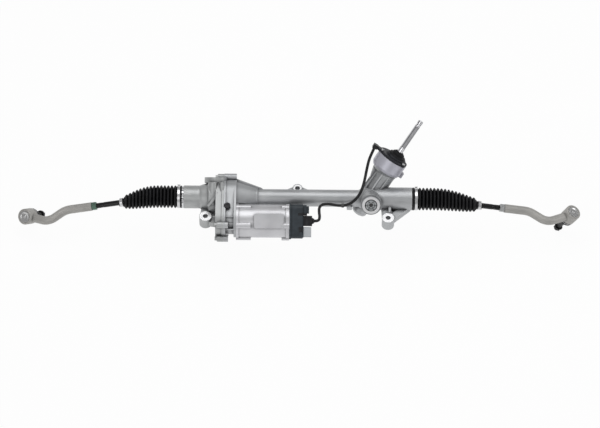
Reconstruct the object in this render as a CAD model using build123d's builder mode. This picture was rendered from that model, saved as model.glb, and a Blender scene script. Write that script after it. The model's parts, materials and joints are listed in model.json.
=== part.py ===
from build123d import *
from math import atan, cos, pi, radians, sin, sqrt, tan
import os

os.makedirs("parts", exist_ok=True)

# Electric power steering rack with a belt-driven ball nut. Lengths are millimetres.
# Everything is drawn about the rack: X runs along it, its axis is y = z = 0 and +Z is up.
# Each finished piece is then moved so that the origin is the left mounting bore.

# ---- along the rack
LEFT_CUFF_END = -304.0
LEFT_NOSE_END = -287.0
COVER_FACE = -222.0
LOBE_FACE = -204.0
SPLIT = -183.0
MOTOR_FACE = -151.0
CONE_END = -98.0
PINION_X = 191.0
YOKE_X = 195.0
RIGHT_NOSE_END = 301.0
RIGHT_CUFF_END = 316.0
INNER_JOINT_X = 340.6
RACK_END_X = 318.0
TRAVEL = 70.0

# ---- radii about the rack
RACK_R = 13.5
RACK_BORE_R = 15.5
TUBE_R = 22.0
NOSE_R = 29.5
CUFF_SEAT_R = 25.0
SOCKET_BORE_R = 20.5
MOUTH_R = 22.6
MOUTH_DEPTH = 26.0
SOCKET_R = 19.0
CASE_R = 47.0
CASE_BORE_R = 43.0

# ---- motor and belt drive, on an axis beside the rack
MOTOR_Y = -72.0
MOTOR_Z = -6.0
MOTOR_R = 44.5
MOTOR_END = -14.0
MOTOR_CASE_R = 42.6
CASE_TILT = 38.0
BELT_LEFT = -199.0
BELT_RIGHT = -175.0
BELT_PITCH = 3.0
BIG_PULLEY_TEETH = 84
SMALL_PULLEY_TEETH = 32
PITCH_LINE = 0.9
BIG_PULLEY_R = BIG_PULLEY_TEETH * BELT_PITCH / (2 * pi) - PITCH_LINE
SMALL_PULLEY_R = SMALL_PULLEY_TEETH * BELT_PITCH / (2 * pi) - PITCH_LINE
BELT_THICKNESS = 2.4
BEARING_LEFT = -173.0
BEARING_RIGHT = -157.0

# ---- mounts: vertical bores for M12 bolts
MOUNT_BORE_R = 6.25
MOUNT_Y = -62.0
MOUNT_HEIGHT = 31.0
MOUNT_R = 16.0
LEFT_MOUNT_X = -230.0
RIGHT_MOUNT_X = 239.4
REAR_MOUNT_X = 5.8
REAR_MOUNT_Y = 26.0
REAR_MOUNT_TOP = 8.5

# ---- pinion: spur teeth on a shaft that crosses the rack at an angle
MODULE = 2.0
TEETH = 7
PRESSURE_ANGLE = radians(20)
PROFILE_SHIFT = 0.55
BACKLASH = 0.12
PITCH_R = MODULE * TEETH / 2
TIP_R = 9.7
ROOT_R = 5.9
RACK_TIP_GAP = 6.3
RACK_ROOT_GAP = 10.1
RACK_FLAT = 11.0
RACK_TEETH = 25
SHAFT_ANGLE = radians(57.5)
ROLL = radians(33)
CAP_AT = 122.0
BOWL_OFFSET = 6.0
BOWL_R = 40.5
SHAFT_TIP = 243.0
COLLAR_R = 7.6
SHANK_R = 7.3

# ---- directions
ALONG = Vector(1, 0, 0)
TO_PINION = Vector(0, cos(ROLL), -sin(ROLL))
TO_YOKE = Vector(0, -cos(ROLL), sin(ROLL))
UP_RACK = Vector(0, sin(ROLL), cos(ROLL))
UP_SHAFT = ALONG * cos(SHAFT_ANGLE) + UP_RACK * sin(SHAFT_ANGLE)
ACROSS_SHAFT = ALONG * sin(SHAFT_ANGLE) - UP_RACK * cos(SHAFT_ANGLE)
CASE_UP = Vector(0, cos(radians(CASE_TILT)), sin(radians(CASE_TILT)))
CASE_BACK = Vector(0, sin(radians(CASE_TILT)), -cos(radians(CASE_TILT)))

DATUM = Location((-LEFT_MOUNT_X, -MOUNT_Y, 0))


def across(x):
    """The plane that cuts the rack at x: its sketches are drawn in world Y and Z."""
    return Plane(origin=(x, 0, 0), x_dir=(0, 1, 0), z_dir=(1, 0, 0))


def beside(x):
    """The plane that cuts the motor at x, turned as the motor stands: x is back, y is up."""
    return Plane(origin=(x, MOTOR_Y, MOTOR_Z), x_dir=CASE_BACK, z_dir=(1, 0, 0))


def line(origin, direction, side=(0, 1, 0)):
    """A plane whose x runs along a shaft's axis, for turned profiles (along, radius)."""
    return Plane(origin=origin, x_dir=direction, z_dir=Vector(direction).cross(Vector(side)))


RACK_LINE = line((0, 0, 0), ALONG)
MOTOR_LINE = line((0, MOTOR_Y, MOTOR_Z), ALONG)
CROSSING = ALONG * PINION_X + TO_PINION * (RACK_FLAT + RACK_TIP_GAP)
PINION_LINE = line(CROSSING, UP_SHAFT)
YOKE_LINE = line(ALONG * YOKE_X, TO_YOKE, side=(1, 0, 0))
VENT_LINE = line((-173.6, -58.4, 39.0), (0, -0.144, 0.99), side=(1, 0, 0))
TURRET_LINE = line((-203.5, 0, 0), CASE_UP, side=(1, 0, 0))
BOWL_CENTRE = CROSSING - ACROSS_SHAFT * BOWL_OFFSET
BOWL_LINE = line(BOWL_CENTRE, UP_SHAFT)
# the case's front: x runs along the rack and y up the case
CASE_FRONT = Plane(origin=(0, 0, 0), x_dir=ALONG, z_dir=-CASE_BACK)
PINION_SECTION = Plane(origin=CROSSING, x_dir=ACROSS_SHAFT, z_dir=UP_SHAFT)


def spin(plane, *outline, mode=Mode.ADD):
    """Turn a closed (along, radius) outline about the x direction of its plane."""
    with BuildSketch(plane) as profile:
        with BuildLine():
            Polyline(*outline, close=True)
        make_face()
    revolve(profile.sketch, axis=Axis(plane.origin, plane.x_dir), mode=mode)


def ring(plane, start, end, inner, outer, mode=Mode.ADD):
    """A turned ring from start to end along the x direction of its plane."""
    spin(plane, (start, inner), (start, outer), (end, outer), (end, inner), mode=mode)


def hull_bar(plane, first, second, depth, mode=Mode.ADD):
    """A bar whose plan is the hull of two circles, each given as (x, y, radius)."""
    with BuildSketch(plane) as plan:
        for x, y, radius in (first, second):
            with Locations((x, y)):
                Circle(radius)
        make_hull()
    extrude(plan.sketch, amount=depth, mode=mode)


def case_outline(x, rack_r, motor_r):
    """The belt case's outline: a circle round each shaft and the sides that join them."""
    with BuildSketch(across(x)) as outline:
        Circle(rack_r)
        with Locations((MOTOR_Y, MOTOR_Z)):
            Circle(motor_r)
        make_hull()
    return outline.sketch


def save(piece, name):
    """Label a finished piece and write it in the frame of the left mounting bore."""
    placed = piece.moved(DATUM)
    placed.label = name
    export_step(placed, f"parts/{name}.step")


# ================================================================ castings
COVER_BOLT_R = 4.0
CASE_BOLTS = [
    (42.0, 30.0), (44.0, -29.0), (-2.0, -52.0), (-74.0, -53.5), (-117.5, -22.0), (-108.2, 22.3),
]


def case_ears(x, depth):
    """Bolt bosses that stand round the rim of the belt case."""
    with BuildSketch(across(x)) as ears:
        with Locations(*CASE_BOLTS):
            Circle(8.5)
    extrude(ears.sketch, amount=depth)


def case_ribs(edge, ends, heights, depth):
    """Ribs across the front of the case. Each height gives one, and ends are where it starts and stops."""
    with BuildSketch(CASE_FRONT.offset(depth)) as ribs:
        for height in heights:
            with Locations(((ends[0] + ends[1]) / 2, height)):
                Rectangle(ends[1] - ends[0], edge)
    extrude(ribs.sketch, amount=-26)


def turret(keep):
    """The flanged turret on top of the case. The joint face cuts it, and keep is the side kept."""
    spin(TURRET_LINE, (0, 0), (0, 22), (34, 22), (37, 30.5), (51, 30.5), (51, 0))
    with BuildSketch(across(SPLIT)) as joint_face:
        Rectangle(400, 400)
    extrude(joint_face.sketch, amount=-keep * 60, mode=Mode.SUBTRACT)


def mount_boss(x, y, top, radius):
    """An upright round boss for a mounting bolt."""
    with BuildSketch(Plane.XY.offset(top - MOUNT_HEIGHT)) as foot:
        with Locations((x, y)):
            Circle(radius)
    extrude(foot.sketch, amount=MOUNT_HEIGHT)


def mount_bore(x, y, top, spotface):
    """The bolt's bore and the machined face round its top."""
    with BuildSketch(Plane.XY.offset(top - MOUNT_HEIGHT)) as bore:
        with Locations((x, y)):
            Circle(MOUNT_BORE_R)
    extrude(bore.sketch, amount=MOUNT_HEIGHT, mode=Mode.SUBTRACT)
    with BuildSketch(Plane.XY.offset(top)) as face:
        with Locations((x, y)):
            Circle(spotface)
    extrude(face.sketch, amount=30, mode=Mode.SUBTRACT)


with BuildPart() as rack_housing:
    # right half of the belt case, then the cone, the tube and the pinion end
    turret(1)
    extrude(case_outline(SPLIT, CASE_R - 1.5, MOTOR_CASE_R - 8), amount=MOTOR_FACE - SPLIT)
    extrude(case_outline(SPLIT, CASE_R + 1.5, MOTOR_CASE_R + 1), amount=5)
    extrude(case_outline(MOTOR_FACE - 6, CASE_R - 1.5, MOTOR_CASE_R), amount=6)
    case_ribs(3.2, (SPLIT, MOTOR_FACE), (-50.3, -68.6, -82.8), 76)
    case_ears(SPLIT, 12)
    # long boss behind the turret
    with BuildSketch(across(SPLIT)) as long_boss:
        with Locations(CASE_BOLTS[0]):
            Circle(9.5)
    extrude(long_boss.sketch, amount=MOTOR_FACE - SPLIT)
    spin(
        RACK_LINE,
        (MOTOR_FACE - 8, 0), (MOTOR_FACE - 8, 44), (MOTOR_FACE + 2, 40), (CONE_END - 2, 25),
        (CONE_END + 1, 25), (CONE_END + 3, TUBE_R), (163, TUBE_R), (176, NOSE_R),
        (RIGHT_NOSE_END, NOSE_R), (RIGHT_NOSE_END, CUFF_SEAT_R),
        (RIGHT_CUFF_END, CUFF_SEAT_R), (RIGHT_CUFF_END, 0),
    )
    # rib along the top of the cone
    with BuildSketch(CASE_FRONT) as cone_rib:
        with BuildLine():
            Polyline((SPLIT, 30), (SPLIT, 49), (MOTOR_FACE, 48), (-88, 25.5), (-80, 20), close=True)
        make_face()
    extrude(cone_rib.sketch, amount=4, both=True)
    # yoke boss, pinion tower and sensor bowl
    ring(YOKE_LINE, 0, 50, 0, 27)
    ring(YOKE_LINE, 40, 55, 0, 24)
    spin(
        PINION_LINE,
        (-52, 0), (-52, 17), (-48, 20), (-20, 23), (60, 26), (80, 29), (80, 0),
    )
    spin(
        BOWL_LINE,
        (70, 0), (76, 28), (84, 37), (91, BOWL_R), (CAP_AT - 2, BOWL_R), (CAP_AT - 2, 0),
    )
    # web between the bowl and the tube
    tower_plane = Plane(origin=CROSSING, x_dir=ALONG, z_dir=ALONG.cross(UP_RACK))
    with BuildSketch(tower_plane) as tower_web:
        with BuildLine():
            Polyline((-12, 4), (-9, 19.5), (10, 82), (24, 84), (44, 60), (17, 4), close=True)
        make_face()
    extrude(tower_web.sketch, amount=8, both=True)
    # lengthwise ribs on the tower
    with BuildSketch(PINION_SECTION) as tower_ribs:
        with PolarLocations(23, 9, start_angle=-70):
            Rectangle(10.6, 4.5)
    extrude(tower_ribs.sketch, amount=82.5)
    # lug of the sensor bowl
    with BuildSketch(PINION_SECTION.offset(86)) as lug:
        with Locations((BOWL_R - BOWL_OFFSET + 1, 4)):
            Rectangle(12, 14)
    extrude(lug.sketch, amount=14)
    # right mount: a boss on an upright arm and a slanted arm
    mount_boss(RIGHT_MOUNT_X, MOUNT_Y, 0, MOUNT_R)
    hull_bar(Plane.XY.offset(-28), (RIGHT_MOUNT_X, MOUNT_Y, 14), (234, -12, 12), 22)
    hull_bar(Plane.XY.offset(-26), (RIGHT_MOUNT_X, MOUNT_Y, 9), (290, -16, 8), 18)
    hull_bar(Plane.XY.offset(-20), (RIGHT_MOUNT_X, MOUNT_Y, 9), (262, -10, 26), 6)
    hull_bar(Plane.XY.offset(-8), (RIGHT_MOUNT_X + 3, MOUNT_Y + 10, 2.5), (RIGHT_MOUNT_X + 6, -12, 4), 12)
    # rear mount on the back of the tube
    mount_boss(REAR_MOUNT_X, REAR_MOUNT_Y, REAR_MOUNT_TOP, 13)
    hull_bar(Plane.XY.offset(-14), (REAR_MOUNT_X, REAR_MOUNT_Y, 12), (REAR_MOUNT_X, 6, 22), 18)
    hull_bar(Plane.XY.offset(-4), (REAR_MOUNT_X, REAR_MOUNT_Y, 11), (REAR_MOUNT_X - 40, 12, 5), 8)
    hull_bar(Plane.XY.offset(-4), (REAR_MOUNT_X, REAR_MOUNT_Y, 11), (REAR_MOUNT_X + 40, 12, 5), 8)
    # lug for the cable clip
    with BuildSketch(Plane.XZ.offset(14)) as clip_lug:
        with Locations((140, -7)):
            RectangleRounded(14, 12, 3)
    extrude(clip_lug.sketch, amount=14)
    # bores: ball nut bearing, rack, inner joint, motor pilot, yoke and pinion
    spin(
        RACK_LINE,
        (SPLIT - 1, 0), (SPLIT - 1, 42.0), (BEARING_RIGHT, 42.0), (BEARING_RIGHT, 22), (-145, 20),
        (-130, RACK_BORE_R), (246, RACK_BORE_R), (246, SOCKET_BORE_R),
        (RIGHT_CUFF_END - MOUTH_DEPTH, SOCKET_BORE_R), (RIGHT_CUFF_END, MOUTH_R), (RIGHT_CUFF_END, 0),
        mode=Mode.SUBTRACT,
    )
    ring(MOTOR_LINE, MOTOR_FACE, CONE_END + 12, 0, MOTOR_R + 1.5, mode=Mode.SUBTRACT)
    ring(VENT_LINE, -4, 2, 0, 8.7, mode=Mode.SUBTRACT)
    extrude(case_outline(SPLIT - 1, CASE_BORE_R, 24), amount=BELT_RIGHT + 2 - SPLIT, mode=Mode.SUBTRACT)
    ring(MOTOR_LINE, SPLIT - 1, MOTOR_FACE - 9, 0, 24, mode=Mode.SUBTRACT)
    ring(MOTOR_LINE, MOTOR_FACE - 10, MOTOR_FACE + 1, 0, 13, mode=Mode.SUBTRACT)
    ring(YOKE_LINE, 0, 56, 0, 15.05, mode=Mode.SUBTRACT)
    spin(
        PINION_LINE,
        (-53, 0), (-53, 14), (-42, 14), (-42, 11), (-24, 11), (-24, 11.5), (26, 11.5), (26, 21),
        (89, 21), (89, 0),
        mode=Mode.SUBTRACT,
    )
    ring(BOWL_LINE, 88, CAP_AT, 0, 36, mode=Mode.SUBTRACT)
    with BuildSketch(across(SPLIT - 1)) as cover_threads:
        with Locations(*CASE_BOLTS):
            Circle(2.6)
    extrude(cover_threads.sketch, amount=11, mode=Mode.SUBTRACT)
    mount_bore(RIGHT_MOUNT_X, MOUNT_Y, 0, MOUNT_R)
    mount_bore(REAR_MOUNT_X, REAR_MOUNT_Y, REAR_MOUNT_TOP, 11)
save(rack_housing.part, "rack_housing")
print("rack_housing", len(rack_housing.part.solids()))

with BuildPart() as gear_cover:
    # left half of the belt case and the left nose
    extrude(case_outline(LOBE_FACE, CASE_R, MOTOR_CASE_R - 1), amount=SPLIT - LOBE_FACE)
    extrude(case_outline(SPLIT - 5, CASE_R + 1.5, MOTOR_CASE_R + 1), amount=5)
    case_ears(LOBE_FACE + 5, SPLIT - LOBE_FACE - 5)
    # round columns that run up the front to the turret, and the slanted rib beside them
    for column_x, column_r, low in ((-211.5, 11.5, -20), (-188, 6, -4)):
        column = line((column_x, 0, 0), CASE_UP, side=(1, 0, 0))
        front = line(column.origin - CASE_BACK * (46 - column_r), CASE_UP, side=(1, 0, 0))
        ring(front, low, 38, 0, column_r)
        with BuildSketch(CASE_FRONT.offset(46 - column_r)) as column_root:
            with Locations((column_x, (low + 38) / 2)):
                Rectangle(2 * column_r, 38 - low)
        extrude(column_root.sketch, amount=-(46 - column_r))
    with BuildSketch(CASE_FRONT.offset(48.5)) as slanted_rib:
        with BuildLine():
            Polyline((-227, -24), (-221, -26), (-194, 8), (-200, 12), close=True)
        make_face()
    extrude(slanted_rib.sketch, amount=-30)
    case_ribs(3.2, (LOBE_FACE - 6, SPLIT), (-50.3,), 76)
    spin(
        RACK_LINE,
        (LEFT_CUFF_END, 0), (LEFT_CUFF_END, CUFF_SEAT_R), (LEFT_NOSE_END, CUFF_SEAT_R),
        (LEFT_NOSE_END, NOSE_R), (-246, NOSE_R), (-240, 32), (COVER_FACE - 4, 36),
        (COVER_FACE, CASE_R - 1), (LOBE_FACE + 6, CASE_R - 1), (LOBE_FACE + 6, 0),
    )
    # turret on top, with a column down the front of the case
    turret(-1)
    # left mount
    mount_boss(LEFT_MOUNT_X, MOUNT_Y, 0, MOUNT_R)
    hull_bar(Plane.XY.offset(-28), (LEFT_MOUNT_X, MOUNT_Y, 14), (LEFT_MOUNT_X + 6, -14, 16), 22)
    hull_bar(Plane.XY.offset(-26), (LEFT_MOUNT_X, MOUNT_Y, 12), (LOBE_FACE + 10, MOUNT_Y + 2, 20), 18)
    # bores: ball nut, bush, rack and inner joint, and the space for the belt
    spin(
        RACK_LINE,
        (LEFT_CUFF_END, 0), (LEFT_CUFF_END, MOUTH_R), (LEFT_CUFF_END + MOUTH_DEPTH, SOCKET_BORE_R),
        (-246, SOCKET_BORE_R),
        (-246, RACK_BORE_R), (-241, RACK_BORE_R), (-241, 17), (-225, 17), (-225, RACK_BORE_R),
        (-207, RACK_BORE_R), (-207, 27), (-200, 27), (-200, 0),
        mode=Mode.SUBTRACT,
    )
    extrude(case_outline(BELT_LEFT - 1.5, CASE_BORE_R, 24), amount=30, mode=Mode.SUBTRACT)
    with BuildSketch(across(LOBE_FACE)) as cover_holes:
        with Locations(*CASE_BOLTS):
            Circle(3.2)
    extrude(cover_holes.sketch, amount=40, mode=Mode.SUBTRACT)
    with BuildSketch(across(LOBE_FACE - 30)) as head_room:
        with Locations(*CASE_BOLTS):
            Circle(7.5)
    extrude(head_room.sketch, amount=35, mode=Mode.SUBTRACT)
    mount_bore(LEFT_MOUNT_X, MOUNT_Y, 0, MOUNT_R)
save(gear_cover.part, "gear_cover")
print("gear_cover", len(gear_cover.part.solids()))

with BuildPart() as gear_cover_bolts:
    for y, z in CASE_BOLTS:
        head = Plane(origin=(LOBE_FACE + 5, y, z), x_dir=(0, 1, 0), z_dir=(-1, 0, 0))
        with BuildSketch(head) as flange:
            Circle(7)
        extrude(flange.sketch, amount=1.5)
        with BuildSketch(head) as hexagon:
            RegularPolygon(5.8, 6)
        extrude(hexagon.sketch, amount=6.5)
        with BuildSketch(head) as shank:
            Circle(2.5)
        extrude(shank.sketch, amount=-26)
save(gear_cover_bolts.part, "gear_cover_bolts")

with BuildPart() as vent_plug:
    # rubber plug in the flat top of the belt case
    spin(VENT_LINE, (-3.9, 0), (-3.9, 8.6), (2, 8.6), (3, 7.6), (3, 4), (1.8, 3.4), (1.8, 0))
save(vent_plug.part, "vent_plug")

with BuildPart() as rack_bush:
    ring(RACK_LINE, -240.8, -225.2, RACK_R + 0.06, 16.9)
save(rack_bush.part, "rack_bush")

# ================================================================ rack and pinion
PITCH = MODULE * pi
FLANK = tan(PRESSURE_ANGLE)
SPACE_AT_PITCH = PITCH - MODULE * (pi / 2 + 2 * PROFILE_SHIFT * FLANK)
BASE_R = PITCH_R * cos(PRESSURE_ANGLE)
HALF_TOOTH = (PITCH - SPACE_AT_PITCH) / (2 * PITCH_R) + FLANK - PRESSURE_ANGLE


def rack_tooth_width(gap):
    """The rack tooth's width at this distance from the pinion's axis, thinned for backlash."""
    return SPACE_AT_PITCH + 2 * (gap - PITCH_R) * FLANK - BACKLASH


def flank_point(roll, side):
    """A point of a pinion tooth's flank: the involute of the base circle at this roll angle."""
    radius = BASE_R * sqrt(1 + roll**2)
    angle = HALF_TOOTH - (roll - atan(roll))
    return Vector(radius * cos(angle), side * radius * sin(angle))


with BuildPart() as rack_bar:
    spin(
        RACK_LINE,
        (-RACK_END_X, 0), (-RACK_END_X, 12.5), (-RACK_END_X + 1, RACK_R),
        (RACK_END_X - 1, RACK_R), (RACK_END_X, 12.5), (RACK_END_X, 0),
    )
    # the flat that carries the teeth
    toothed = RACK_TEETH * PITCH / sin(SHAFT_ANGLE)
    flat_plane = Plane(origin=ALONG * PINION_X + TO_PINION * RACK_FLAT, x_dir=ALONG, z_dir=TO_PINION)
    with BuildSketch(flat_plane) as flat:
        Rectangle(toothed + 16, 40)
    extrude(flat.sketch, amount=10, mode=Mode.SUBTRACT)
    # the gaps between the teeth run along the pinion's axis
    top = PITCH - rack_tooth_width(RACK_TIP_GAP)
    bottom = PITCH - rack_tooth_width(RACK_ROOT_GAP)
    with BuildSketch(PINION_SECTION) as gaps:
        for number in range(RACK_TEETH - 1):
            middle = (number - RACK_TEETH / 2 + 1) * PITCH
            with BuildLine():
                Polyline(
                    (middle - top / 2 - 0.3, 0.8 - RACK_TIP_GAP), (middle - top / 2, -RACK_TIP_GAP),
                    (middle - bottom / 2, -RACK_ROOT_GAP), (middle + bottom / 2, -RACK_ROOT_GAP),
                    (middle + top / 2, -RACK_TIP_GAP), (middle + top / 2 + 0.3, 0.8 - RACK_TIP_GAP),
                    close=True,
                )
            make_face()
    reach = toothed / 2 * cos(SHAFT_ANGLE) + 24
    extrude(gaps.sketch, amount=reach, both=True, mode=Mode.SUBTRACT)
save(rack_bar.part, "rack_bar")
print("rack_bar", len(rack_bar.part.solids()))

with BuildPart() as pinion_shaft:
    # seven involute teeth, cut out of the shaft's own blank
    tip_roll = sqrt((TIP_R / BASE_R) ** 2 - 1)
    rolls = [tip_roll * step / 4 for step in range(5)]
    with BuildSketch(Plane.XY, mode=Mode.PRIVATE) as tooth:
        with BuildLine():
            right = Spline(*[flank_point(roll, -1) for roll in rolls])
            left = Spline(*[flank_point(roll, 1) for roll in rolls])
            ThreePointArc(right @ 1, (TIP_R, 0), left @ 1)
            Polyline(left @ 0, (4, (left @ 0).Y * 0.6), (4, (right @ 0).Y * 0.6), right @ 0)
        make_face()
    with BuildSketch(PINION_SECTION.offset(-19)) as teeth:
        Circle(ROOT_R)
        for number in range(TEETH):
            add(tooth.sketch, rotation=-90 + (number + 0.5) * 360 / TEETH)
    extrude(teeth.sketch, amount=38)
    spin(PINION_LINE, (-38, 0), (-38, 5), (-37, 6), (-19, 6), (-19, 0))
    spin(
        PINION_LINE,
        (19, 0), (19, TIP_R), (26, 10), (44, 10), (44, 14), (76, 14), (78, 12), (78, 0),
    )
    ring(PINION_LINE, 52, 79, 0, 7.5, mode=Mode.SUBTRACT)
save(pinion_shaft.part, "pinion_shaft")
print("pinion_shaft", len(pinion_shaft.part.solids()))

with BuildPart() as torsion_bar:
    spin(
        PINION_LINE,
        (52.1, 0), (52.1, 4.5), (62, 4.5), (66, 2.6), (150, 2.6), (154, 3.9), (164, 3.9), (164, 0),
    )
save(torsion_bar.part, "torsion_bar")

with BuildPart() as input_shaft:
    # stub inside the pinion's head, sensor seat, plain collar and long shank
    spin(
        PINION_LINE,
        (64, 0), (64, 7.2), (79, 7.2), (79, 12), (118, 12), (122, 9), (146, COLLAR_R), (158, COLLAR_R),
        (158.3, SHANK_R), (226, SHANK_R), (228, 6.4), (233, 6.4), (235, 7.2), (SHAFT_TIP - 1.5, 7.2), (SHAFT_TIP, 5.8), (SHAFT_TIP, 0),
    )
    ring(PINION_LINE, 63, 165, 0, 4.6, mode=Mode.SUBTRACT)
    # one flat clocks the steering column's joint
    with BuildSketch(PINION_SECTION.offset(160)) as clocking_flat:
        with Locations((0, -10.2)):
            Rectangle(20, 8)
    extrude(clocking_flat.sketch, amount=66, mode=Mode.SUBTRACT)
    # cross hole for the clamp bolt
    cross_hole = Plane(origin=CROSSING + UP_SHAFT * 205, x_dir=UP_SHAFT, z_dir=TO_PINION)
    with BuildSketch(cross_hole) as pin_hole:
        Circle(1.6)
    extrude(pin_hole.sketch, amount=12, both=True, mode=Mode.SUBTRACT)
save(input_shaft.part, "input_shaft")

with BuildPart() as pinion_bearings:
    # a ball bearing above the teeth and a needle bearing below them
    ring(PINION_LINE, 28, 42, 10.05, 20.95)
    ring(PINION_LINE, -39, -25, 6.05, 10.95)
save(pinion_bearings.part, "pinion_bearings")

with BuildPart() as pinion_cap:
    spin(PINION_LINE, (-55, 0), (-55, 11), (-52.1, 15), (-52.1, 13.95), (-43, 13.95), (-43, 0))
    with BuildSketch(PINION_SECTION.offset(-55)) as hex_socket:
        RegularPolygon(5.5, 6)
    extrude(hex_socket.sketch, amount=6, mode=Mode.SUBTRACT)
save(pinion_cap.part, "pinion_cap")

with BuildPart() as yoke:
    ring(YOKE_LINE, 3, 32, 0, 14.95)
    ring(YOKE_LINE, 19, 33, 0, 8, mode=Mode.SUBTRACT)
    ring(RACK_LINE, 170, 230, 0, RACK_R + 0.06, mode=Mode.SUBTRACT)
save(yoke.part, "yoke")
print("yoke", len(yoke.part.solids()))

with BuildPart() as yoke_spring:
    # coil spring between the yoke and its plug
    seat = Plane(origin=YOKE_LINE.origin + TO_YOKE * 20.6, x_dir=ALONG, z_dir=TO_YOKE)
    with BuildLine() as coil:
        Helix(pitch=5.2, height=18, radius=5.6, center=seat.origin, direction=seat.z_dir)
    with BuildSketch(Plane(origin=coil.line @ 0, z_dir=coil.line % 0)) as wire:
        Circle(1.3)
    sweep(wire.sketch, path=coil.line)
save(yoke_spring.part, "yoke_spring")

with BuildPart() as yoke_plug:
    ring(YOKE_LINE, 41, 56, 0, 14.95)
    # castellated rim and a hexagon socket
    ring(YOKE_LINE, 53, 57, 0, 10.5, mode=Mode.SUBTRACT)
    plug_face = Plane(origin=ALONG * YOKE_X + TO_YOKE * 56, x_dir=ALONG, z_dir=TO_YOKE)
    with BuildSketch(plug_face.offset(-6)) as holes:
        RegularPolygon(4.2, 6)
        with PolarLocations(8.0, 6):
            Circle(1.5)
    extrude(holes.sketch, amount=7, mode=Mode.SUBTRACT)
    with BuildSketch(plug_face.offset(-2.5)) as notches:
        with PolarLocations(13, 6):
            Rectangle(7, 4)
    extrude(notches.sketch, amount=3, mode=Mode.SUBTRACT)
save(yoke_plug.part, "yoke_plug")

with BuildPart() as sensor_rotor:
    ring(PINION_LINE, 92, 108, 12, 17)
save(sensor_rotor.part, "sensor_rotor")

with BuildPart() as torque_sensor:
    ring(BOWL_LINE, 90, 112, 27, 35.9)
    ring(PINION_LINE, 92, 108, 18, 28)
save(torque_sensor.part, "torque_sensor")

CAP_SCREWS_FROM = 75
BOWL_SHIFT = Location((-BOWL_OFFSET, 0, 0))
with BuildPart() as sensor_cap:
    # moulded cap with a stepped hub and a socket arm on its rim
    spin(
        BOWL_LINE,
        (112.1, 0), (112.1, 35.9), (CAP_AT - 2, 35.9), (CAP_AT - 2, BOWL_R - 0.5), (CAP_AT + 3, BOWL_R - 0.5),
        (CAP_AT + 4, BOWL_R - 4), (CAP_AT + 4, 0),
    )
    spin(PINION_LINE, (CAP_AT, 0), (CAP_AT, 29), (CAP_AT + 5, 28), (CAP_AT + 9, 26), (CAP_AT + 9, 0))
    ring(PINION_LINE, 100, CAP_AT + 10, 0, 12.6, mode=Mode.SUBTRACT)
    # socket arm on the rim, and the ears of the three screws
    with BuildSketch(PINION_SECTION.offset(CAP_AT - 2)) as socket_arm:
        with Locations((-46, 0)):
            RectangleRounded(16, 20, 4)
        with Locations(BOWL_SHIFT):
            with PolarLocations(BOWL_R - 2, 3, start_angle=CAP_SCREWS_FROM):
                Circle(5.5)
    extrude(socket_arm.sketch, amount=6)
save(sensor_cap.part, "sensor_cap")
print("sensor_cap", len(sensor_cap.part.solids()))

with BuildPart() as sensor_cap_screws:
    with BuildSketch(PINION_SECTION.offset(CAP_AT + 4)) as screws:
        with Locations(BOWL_SHIFT):
            with PolarLocations(BOWL_R - 3, 3, start_angle=CAP_SCREWS_FROM):
                Circle(4)
                RegularPolygon(2, 6, mode=Mode.SUBTRACT)
    extrude(screws.sketch, amount=3.2)
save(sensor_cap_screws.part, "sensor_cap_screws")

with BuildPart() as input_seal:
    # rubber cone that keeps dirt out round the turning shaft
    spin(
        PINION_LINE,
        (CAP_AT + 9.1, 13), (CAP_AT + 9.1, 24), (CAP_AT + 13, 22), (CAP_AT + 14, 17), (CAP_AT + 18, 16),
        (CAP_AT + 23, 9.6), (CAP_AT + 23, 8.2), (CAP_AT + 12, 9.6),
    )
save(input_seal.part, "input_seal")

# ================================================================ ball nut, belt and motor
with BuildPart() as ball_nut:
    # the nut, with the bearing's inner race ground on its flange
    spin(
        RACK_LINE,
        (BELT_LEFT - 6, 14.2), (BELT_LEFT - 6, 24), (BELT_LEFT, 24), (BELT_LEFT, 27), (BEARING_LEFT, 27),
        (BEARING_LEFT, 33), (BEARING_RIGHT - 2, 33), (BEARING_RIGHT - 0.5, 30), (BEARING_RIGHT - 0.5, 14.2),
    )
save(ball_nut.part, "ball_nut")

with BuildPart() as driven_pulley:
    spin(
        RACK_LINE,
        (BELT_LEFT, 27), (BELT_LEFT, 41), (BELT_LEFT + 2, 41), (BELT_LEFT + 2, BIG_PULLEY_R),
        (BELT_RIGHT, BIG_PULLEY_R), (BELT_RIGHT, 34), (BELT_LEFT + 8, 34), (BELT_LEFT + 8, 27),
    )
save(driven_pulley.part, "driven_pulley")

with BuildPart() as nut_bearing_outer:
    ring(RACK_LINE, BEARING_LEFT, BEARING_RIGHT - 0.2, 33.4, 41.9)
save(nut_bearing_outer.part, "nut_bearing_outer")

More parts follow.
